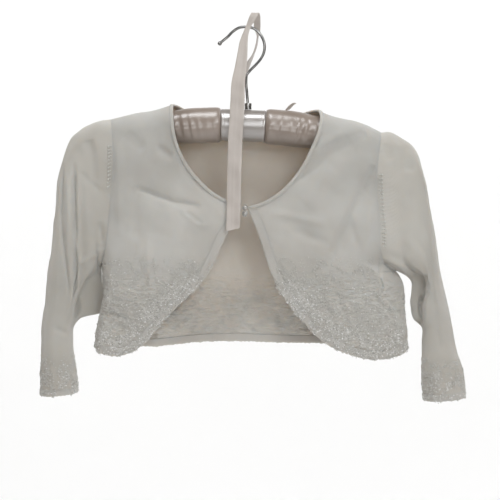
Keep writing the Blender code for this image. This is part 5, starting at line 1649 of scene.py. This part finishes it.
def satin_arm(side):
    """A padded arm in ruched satin: gathers run out of a seam low on its front and one behind."""
    left = side == "left"
    start = BAND_LEFT - GAP if left else BAND_RIGHT + GAP
    end = PAD_LINE[0 if left else -1][0]
    random = np.random.default_rng(41 if left else 42)
    x = start + (end - start) * np.linspace(0, 1, ARM_RINGS) ** ARM_DENSER
    z, radius = pad_centre(x), pad_radius(x)
    run = np.abs(x - start)
    radius = radius - ARM_TUCK * np.exp(-run / ARM_TUCK_SPREAD)
    slope = unit(np.array([-1.0 if left else 1.0, (z[-1] - z[-2]) / abs(x[-1] - x[-2])]))
    turns = np.radians(np.linspace(*CAP_TURNS, CAP_RINGS))
    cap = radius[-1] * np.sin(turns)
    x, z = np.concatenate([x, x[-1] + slope[0] * cap]), np.concatenate([z, z[-1] + slope[1] * cap])
    path = np.stack([x, np.zeros(len(x)), z], axis=1)
    grown = np.concatenate([radius, radius[-1] * np.cos(turns)])[:, None]
    run = np.concatenate([run, run[-1] + radius[-1] * turns])[:, None]
    angle = np.linspace(0, 2 * math.pi, ARM_SIDES, endpoint=False)[None, :]
    relief = np.zeros((len(x), ARM_SIDES))
    for seam, deep in ((PLEAT_SEAM, 1.0), (2 * math.pi - PLEAT_SEAM, PLEAT_BEHIND)):
        turn = (angle - seam + math.pi) % (2 * math.pi) - math.pi
        relief += deep * gathers(run, turn, random)
    relief = relief + ARM_SWELL * round_swell(run, grown, angle, ARM_SWELL_WAVE, 43)
    relief = relief * np.clip(grown / ARM_TIP, 0, 1)
    sections = rings_along(path, grown + relief, ARM_SIDES)
    return sweep(f"satin_arm_{side}", sections, False, satin_material("ruched satin"))


def satin_band():
    """The smooth satin band that covers the join of the arms, with turned-under edges."""
    edges = np.array([place for place, _ in BAND_ENDS])
    x = np.concatenate([BAND_LEFT + edges, np.linspace(BAND_LEFT + 2, BAND_RIGHT - 2, BAND_RINGS),
                        BAND_RIGHT - edges[::-1]])
    radius = np.full(len(x), BAND_RADIUS)
    for place, (_, under) in enumerate(BAND_ENDS):
        radius[[place, -1 - place]] -= under
    path = np.stack([x, np.zeros(len(x)), pad_centre(x)], axis=1)
    angle = np.linspace(0, 2 * math.pi, BAND_SIDES, endpoint=False)[None, :]
    inside = np.minimum(x - BAND_LEFT, BAND_RIGHT - x)[:, None]
    hem = -BAND_HEM_DEEP * np.exp(-(((inside - BAND_HEM_AT) / BAND_HEM_WIDTH) ** 2))
    swell = SMOOTH_SWELL * round_swell(x[:, None], BAND_RADIUS, angle, SMOOTH_SWELL_WAVE, 44)
    sections = rings_along(path, radius[:, None] + hem + swell * np.clip(inside / 3, 0, 1), BAND_SIDES)
    return sweep("satin_middle", sections, False, satin_material("blush satin"))


def select_faces(thing, wanted):
    """In edit mode, selects only the faces that the test picks by their centre and normal."""
    edit_mode(True)
    bpy.ops.mesh.select_mode(type="FACE")
    bpy.ops.mesh.select_all(action="DESELECT")
    edit_mode(False)
    for face in thing.data.polygons:
        face.select = wanted(face.center, face.normal)
    edit_mode(True)


def pick(*parts):
    """Selects these pieces alone, the first of them active."""
    bpy.ops.object.select_all(action="DESELECT")
    for part in parts:
        part.select_set(True)
    bpy.context.view_layer.objects.active = parts[0]


def settle(thing, name, material, angle=35.0):
    """Puts a modelled piece's place into its mesh and gives it its name, shading and finish."""
    pick(thing)
    bpy.ops.object.transform_apply(location=True, rotation=True, scale=True)
    bpy.ops.object.shade_smooth_by_angle(angle=math.radians(angle))
    thing.name = name
    thing.data.name = name
    thing.data.materials.clear()
    thing.data.materials.append(material)
    return tidy_normals(thing)


def poly_wire(points, radius, resolution, closed):
    """Round wire along points in millimetres."""
    bpy.ops.object.select_all(action="DESELECT")
    bpy.ops.curve.primitive_nurbs_path_add()
    curve = bpy.context.object.data
    curve.splines.clear()
    line = curve.splines.new("POLY")
    line.points.add(len(points) - 1)
    for place, point in zip(line.points, points):
        place.co = (*(np.array(point) * MM), 1.0)
    line.use_cyclic_u = closed
    curve.dimensions = "3D"
    curve.bevel_depth = radius * MM
    curve.bevel_resolution = resolution
    curve.use_fill_caps = not closed
    bpy.ops.object.convert(target="MESH")
    return bpy.context.object


def hook_ferrule():
    """The turned ferrule between the satin band and the wire."""
    foot = float(pad_centre(np.array([FERRULE_X]))[0]) + BAND_RADIUS + GAP
    top = HOOK[0][1] - GAP
    bpy.ops.object.select_all(action="DESELECT")
    bpy.ops.mesh.primitive_cylinder_add(vertices=40, radius=FERRULE_RADIUS * MM, depth=(top - foot) * MM,
                                        location=(FERRULE_X * MM, 0, (top + foot) / 2 * MM))
    ring = bpy.context.object
    select_faces(ring, lambda centre, normal: normal.z > 0.9)
    for rim in FERRULE_RIMS:
        bpy.ops.mesh.inset(thickness=rim * MM)
    bpy.ops.transform.translate(value=(0, 0, -0.5 * MM))
    low, high = (foot + GROOVE_FOOT) * MM, (foot + GROOVE_FOOT + GROOVE) * MM
    for level in (low, high):
        bpy.ops.mesh.select_all(action="SELECT")
        bpy.ops.mesh.bisect(plane_co=(0, 0, level), plane_no=(0, 0, 1))
    edit_mode(False)
    room = 0.05 * MM
    for corner in ring.data.vertices:
        out = math.hypot(corner.co.x, corner.co.y)
        if low - room < corner.co.z + ring.location.z < high + room and out > 3 * MM:
            corner.co.x *= GROOVE_SHARE
            corner.co.y *= GROOVE_SHARE
    bevel = ring.modifiers.new("rounded rim", "BEVEL")
    bevel.width = FERRULE_BEVEL * MM
    bevel.segments = 3
    bevel.limit_method = "ANGLE"
    bpy.ops.object.modifier_apply(modifier=bevel.name)
    return settle(ring, "ferrule", plain_material("chromed wire"))


def wire_hook():
    """The bent wire hook with its ball tip."""
    points = along([(x, 0.0, z) for x, z in HOOK], np.linspace(0, 1, HOOK_POINTS))
    wire = poly_wire(points, WIRE, 6, False)
    step = unit(points[-1] - points[-2])
    middle = points[-1] + step * HOOK_BALL * HOOK_BALL_SET
    bpy.ops.object.select_all(action="DESELECT")
    bpy.ops.mesh.primitive_uv_sphere_add(segments=28, ring_count=18, radius=HOOK_BALL * MM,
                                         location=tuple(middle * MM))
    ball = bpy.context.object
    select_faces(ball, lambda centre, normal: normal.dot(Vector(-step)) > 0.9)
    bpy.ops.transform.translate(value=tuple(-step * 0.5 * MM))
    edit_mode(False)
    pick(wire, ball)
    bpy.ops.object.join()
    return settle(wire, "hook", plain_material("chromed wire"), 50.0)


def ribbon_strip(name, table, count, fold):
    """A satin ribbon: a thin strip with a soft fold along it; its low end is cut on a slant."""
    rows = np.asarray(table, float)
    knots = lengths(rows[:, :3])
    rows = spline(knots, rows, np.linspace(0, knots[-1], count))
    middle, half = rows[:, :3], rows[:, 3:4] / 2
    turn = np.radians(rows[:, 4])
    aside = np.stack([np.cos(turn), np.sin(turn), np.zeros(count)], axis=1)
    ahead = unit(np.gradient(middle, axis=0))
    normal = unit(np.cross(ahead, aside))
    run = lengths(middle)
    loops = []
    for over, shares in ((1.0, np.linspace(-1, 1, RIBBON_SHARES)), (-1.0, np.linspace(1, -1, RIBBON_SHARES))):
        for share in shares:
            thick = RIBBON / 2 * (1 - RIBBON_THIN * abs(share) ** 6)
            groove = RIBBON_GROOVE * math.exp(-(((share + RIBBON_GROOVE_AT) / RIBBON_GROOVE_WIDTH) ** 2))
            rise = fold * (RIBBON_CROWN * math.cos(share * RIBBON_CROWN_TURN) - groove)
            ripple = 0.18 * np.sin(run / 7.0 + share * 2.0) + 0.12 * np.sin(run / 2.9 + 1.3 * share)
            point = middle + aside * half * share + normal * (rise + over * thick + ripple[:, None])
            slant = np.clip(1 - run / RIBBON_CUT_FADE, 0, 1)[:, None] * RIBBON_SLANT * share
            loops.append(point + ahead * slant)
    return sweep(name, np.stack(loops, axis=1), False, satin_material("ribbon satin"), False)


def clasp():
    """The small beaded clasp between the fronts: two faceted beads joined by a loop of wire."""
    middle = np.array(CLASP)
    parts = []
    for lift, size in CLASP_BEADS:
        bpy.ops.object.select_all(action="DESELECT")
        bpy.ops.mesh.primitive_ico_sphere_add(subdivisions=2, radius=size * MM,
                                              location=tuple((middle + (0.0, 0.0, lift)) * MM))
        parts.append(bpy.context.object)
        edit_mode(True)
        bpy.ops.mesh.select_all(action="SELECT")
        bpy.ops.mesh.bevel(offset=0.09 * MM, segments=1)
        edit_mode(False)
    wide, high = CLASP_RING
    for lift in (CLASP_HALF, -CLASP_HALF):
        ring = [(CLASP[0] + wide * math.cos(t), CLASP[1] + 1.5, CLASP[2] + lift + high * math.sin(t))
                for t in np.linspace(0, 2 * math.pi, CLASP_RING_POINTS, endpoint=False)]
        parts.append(poly_wire(ring, CLASP_WIRE, 2, True))
    pick(*parts)
    bpy.ops.object.join()
    return settle(parts[0], "beaded_clasp", plain_material("clear beads"), 20.0)


# Finishes


class Finish:
    """A new material, with short ways to add nodes and to join them to its shader."""

    def __init__(self, name):
        self.material = bpy.data.materials.new(name)
        self.material.use_nodes = True
        self.tree = self.material.node_tree
        place = self.add("ShaderNodeTexCoord", {}).outputs
        self.uv, self.place = place["UV"], place["Object"]

    def add(self, kind, inputs, **settings):
        """A new node; each input, named or numbered, takes a link or a plain value."""
        made = self.tree.nodes.new(kind)
        for key, value in settings.items():
            setattr(made, key, value)
        self.fill(made, inputs)
        return made

    def fill(self, node, inputs):
        for key, value in inputs.items():
            if isinstance(value, bpy.types.NodeSocket):
                self.tree.links.new(value, node.inputs[key])
            else:
                node.inputs[key].default_value = value

    def math(self, operation, *values):
        return self.add("ShaderNodeMath", dict(enumerate(values)), operation=operation).outputs[0]

    def ramp(self, source, *stops):
        made = self.add("ShaderNodeValToRGB", {0: source})
        for element, (place, colour) in zip(made.color_ramp.elements, stops):
            element.position = place
            element.color = (*colour, 1.0)
        return made.outputs[0]

    def noise(self, scale, detail, where=None):
        where = self.place if where is None else where
        made = self.add("ShaderNodeTexNoise", {"Scale": scale, "Detail": detail, "Vector": where})
        return made.outputs["Fac"]

    def stretch(self, where, scale):
        return self.add("ShaderNodeMapping", {0: where, "Scale": scale}).outputs[0]

    def split(self, where):
        return self.add("ShaderNodeSeparateXYZ", {0: where}).outputs

    def bump(self, height, strength, distance):
        inputs = {"Strength": strength, "Distance": distance, "Height": height}
        return self.add("ShaderNodeBump", inputs).outputs[0]

    def shade(self, inputs):
        """Fills the shader's inputs and gives the finished material."""
        self.fill(self.tree.nodes["Principled BSDF"], inputs)
        return self.material


def stitch_height(finish, wale, course):
    """Height of plain knitting: columns of small V stitches along the cloth's own uv, in millimetres."""
    u, v, _ = finish.split(finish.uv)
    u, v = finish.math("DIVIDE", u, wale), finish.math("DIVIDE", v, course)
    across = finish.math("ABSOLUTE", finish.math("SUBTRACT", finish.math("FRACT", u), 0.5))
    lean = finish.math("MULTIPLY", across, 1.4)
    yarn = finish.math("SINE", finish.math("MULTIPLY", finish.math("ADD", v, lean), 2 * math.pi))
    column = finish.math("MULTIPLY", finish.math("SUBTRACT", across, 0.25), 4 * math.pi)
    column = finish.math("COSINE", column)
    return finish.math("ADD", finish.math("MULTIPLY", yarn, 0.3), finish.math("MULTIPLY", column, 0.7))


def hem_relief(finish):
    """Height of the ripples that the embroidery draws into the lower part of the panels."""
    height = finish.split(finish.place)[2]
    low = finish.math("DIVIDE", finish.math("SUBTRACT", HEM_RELIEF_TOP, height), HEM_RELIEF_FADE)
    low = finish.math("MINIMUM", finish.math("MAXIMUM", low, 0.0), 1.0)
    ripple = finish.noise(120.0, 2.0, finish.stretch(finish.place, (1.0, 1.0, 2.6)))
    ripple = finish.math("MULTIPLY_ADD", ripple, HEM_RELIEF, -HEM_RELIEF / 2)
    return finish.math("MULTIPLY", ripple, low)


@functools.cache
def knit_material(name):
    """Fine plain knitting in a soft yarn, with painted shade in the hollows between its stitches; the panels
    also ripple where they are embroidered.
    """
    light, shade, wale, course, strength = KNITS[name]
    finish = Finish(name)
    stitches = stitch_height(finish, wale, course)
    fuzz = finish.noise(900.0, 2.0)
    colour = finish.ramp(finish.noise(16.0, 3.0), (0.32, shade), (0.70, light))
    # Painted shade: the colour is darkened where the stitch height is low, in the hollows between the loops
    painted_hollow_shade = finish.math("MULTIPLY_ADD", stitches, 0.35, 0.5)
    painted_hollow_shade = finish.ramp(painted_hollow_shade, (0.0, PAINTED_STITCH_SHADE), (0.75, (1.0, 1.0, 1.0)))
    mixed = finish.add("ShaderNodeMix", {0: 1.0, 6: colour, 7: painted_hollow_shade}, data_type="RGBA", blend_type="MULTIPLY")
    height = finish.math("ADD", stitches, finish.math("MULTIPLY", fuzz, 0.8))
    if name == "embroidered jersey":
        height = finish.math("ADD", height, hem_relief(finish))
    return finish.shade({
        "Base Color": mixed.outputs[2],
        "Roughness": finish.math("MULTIPLY_ADD", fuzz, 0.12, 0.76),
        "Sheen Weight": 0.25,
        "Sheen Roughness": 0.5,
        "Specular IOR Level": 0.3,
        "Subsurface Weight": 0.45,
        "Subsurface Radius": (1.0, 0.77, 0.6),
        "Subsurface Scale": 0.0048,
        "Normal": finish.bump(height, strength, 0.0003),
    })


@functools.cache
def satin_material(name):
    """Satin with a fine weave that runs along the cloth's own uv."""
    light, shade, along_weave, gloss = SATINS[name]
    finish = Finish(name)
    weave = finish.noise(1.0, 3.0, finish.stretch(finish.uv, along_weave))
    return finish.shade({
        "Base Color": finish.ramp(finish.noise(30.0, 2.0), (0.3, shade), (0.7, light)),
        "Roughness": finish.math("MULTIPLY_ADD", weave, 0.10, 0.27),
        "IOR": gloss,
        "Sheen Weight": 0.08,
        "Sheen Roughness": 0.3,
        "Anisotropic": 0.4,
        "Specular IOR Level": 1.0,
        "Normal": finish.bump(weave, 0.25, 0.0002),
    })


@functools.cache
def plain_material(name):
    """A finish whose colour and roughness vary softly with one noise."""
    scale, detail, low, high, rough, values = PLAINS[name]
    finish = Finish(name)
    speck = finish.noise(scale, detail)
    inputs = {"Base Color": finish.ramp(speck, low, high)}
    if rough:
        inputs["Roughness"] = finish.math("MULTIPLY_ADD", speck, *rough)
    if name == "embroidery thread":
        inputs["Normal"] = finish.bump(speck, 0.4, 0.0002)
    return finish.shade({**inputs, **values})


# Studio


def aim(thing, target):
    """Turns a lamp or camera to look at the target."""
    thing.rotation_euler = (target - thing.location).to_track_quat("-Z", "Y").to_euler()


def studio():
    """A pale floor that curves up into a backdrop, soft lights, and the photograph's camera."""
    bend = []
    for turn in np.linspace(0, math.pi / 2, 16):
        rise = BEND_RADIUS * (1 - math.cos(turn))
        bend.append((BEND_START + BEND_RADIUS * math.sin(turn), FLOOR + rise))
    profile = [(-STUDIO_HALF, FLOOR)] + bend + [WALL_TOP]
    points = [(x, y, z) for y, z in profile for x in (-STUDIO_HALF, STUDIO_HALF)]
    faces = [(2 * i, 2 * i + 1, 2 * i + 3, 2 * i + 2) for i in range(len(profile) - 1)]
    mesh = bpy.data.meshes.new("studio_sweep")
    mesh.from_pydata(points, [], faces)
    mesh.shade_smooth()
    mesh.materials.append(plain_material("pale studio"))
    add_object("studio_sweep", mesh)
    scene = bpy.context.scene
    for name, place, at, size, power in LAMPS:
        data = bpy.data.lights.new(name, "AREA")
        data.size = size
        data.energy = power
        data.color = LAMP_TINT
        lamp = add_object(name, data)
        lamp.location = place
        aim(lamp, Vector(at))
    scene.world = bpy.data.worlds.new("pale air")
    scene.world.use_nodes = True
    air = scene.world.node_tree.nodes["Background"].inputs
    air["Color"].default_value = (*AIR_TINT, 1.0)
    air["Strength"].default_value = AIR
    scene.view_settings.view_transform = "Standard"
    data = bpy.data.cameras.new("camera")
    data.sensor_width = SENSOR
    data.sensor_fit = "HORIZONTAL"
    data.lens = SENSOR * CAMERA_DISTANCE / VIEW_WIDTH
    scene.camera = add_object("camera", data)
    rise = math.radians(CAMERA_RISE)
    target = Vector(CAMERA_TARGET)
    scene.camera.location = target + Vector((0.0, -math.cos(rise), math.sin(rise))) * CAMERA_DISTANCE
    aim(scene.camera, target)


def stand_for(piece, node):
    """The piece is shown in the node's place, which is hidden."""
    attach(piece, "root")
    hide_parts(node)
    return piece


def main():
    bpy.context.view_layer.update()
    bpy.ops.object.select_all(action="DESELECT")
    sheets, strips, panels = make_knit()
    edgings, bands = make_edgings(strips)
    worked = make_needlework(sheets, bands, small_shapes())
    for name, piece in panels.items():
        stand_for(piece, name)
    for name, piece in edgings.items():
        stand_for(piece, name)
    for _, piece, slot in worked:
        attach(piece, "root")
    for sheet in sheets:
        name = sheet["name"]
        own = [piece for of, piece, _ in worked if of in (name, *EDGES_OF[name])]
        own += [edgings[edge] for edge in EDGES_OF[name]]
    for side in ("left", "right"):
        arm = stand_for(satin_arm(side), f"hanger_arm_{side}")
    middle = stand_for(satin_band(), "hanger_middle_band")
    stand_for(hook_ferrule(), "hanger_ferrule")
    stand_for(wire_hook(), "hanger_hook")
    ribbon = stand_for(ribbon_strip("satin_ribbon", RIBBON_DRAPED, *DRAPED_FOLD), "ribbon")
    end = stand_for(ribbon_strip("satin_ribbon_end", RIBBON_END, *END_FOLD), "ribbon_end")
    stand_for(clasp(), "fastening")
    studio()
    bpy.context.view_layer.update()


main()
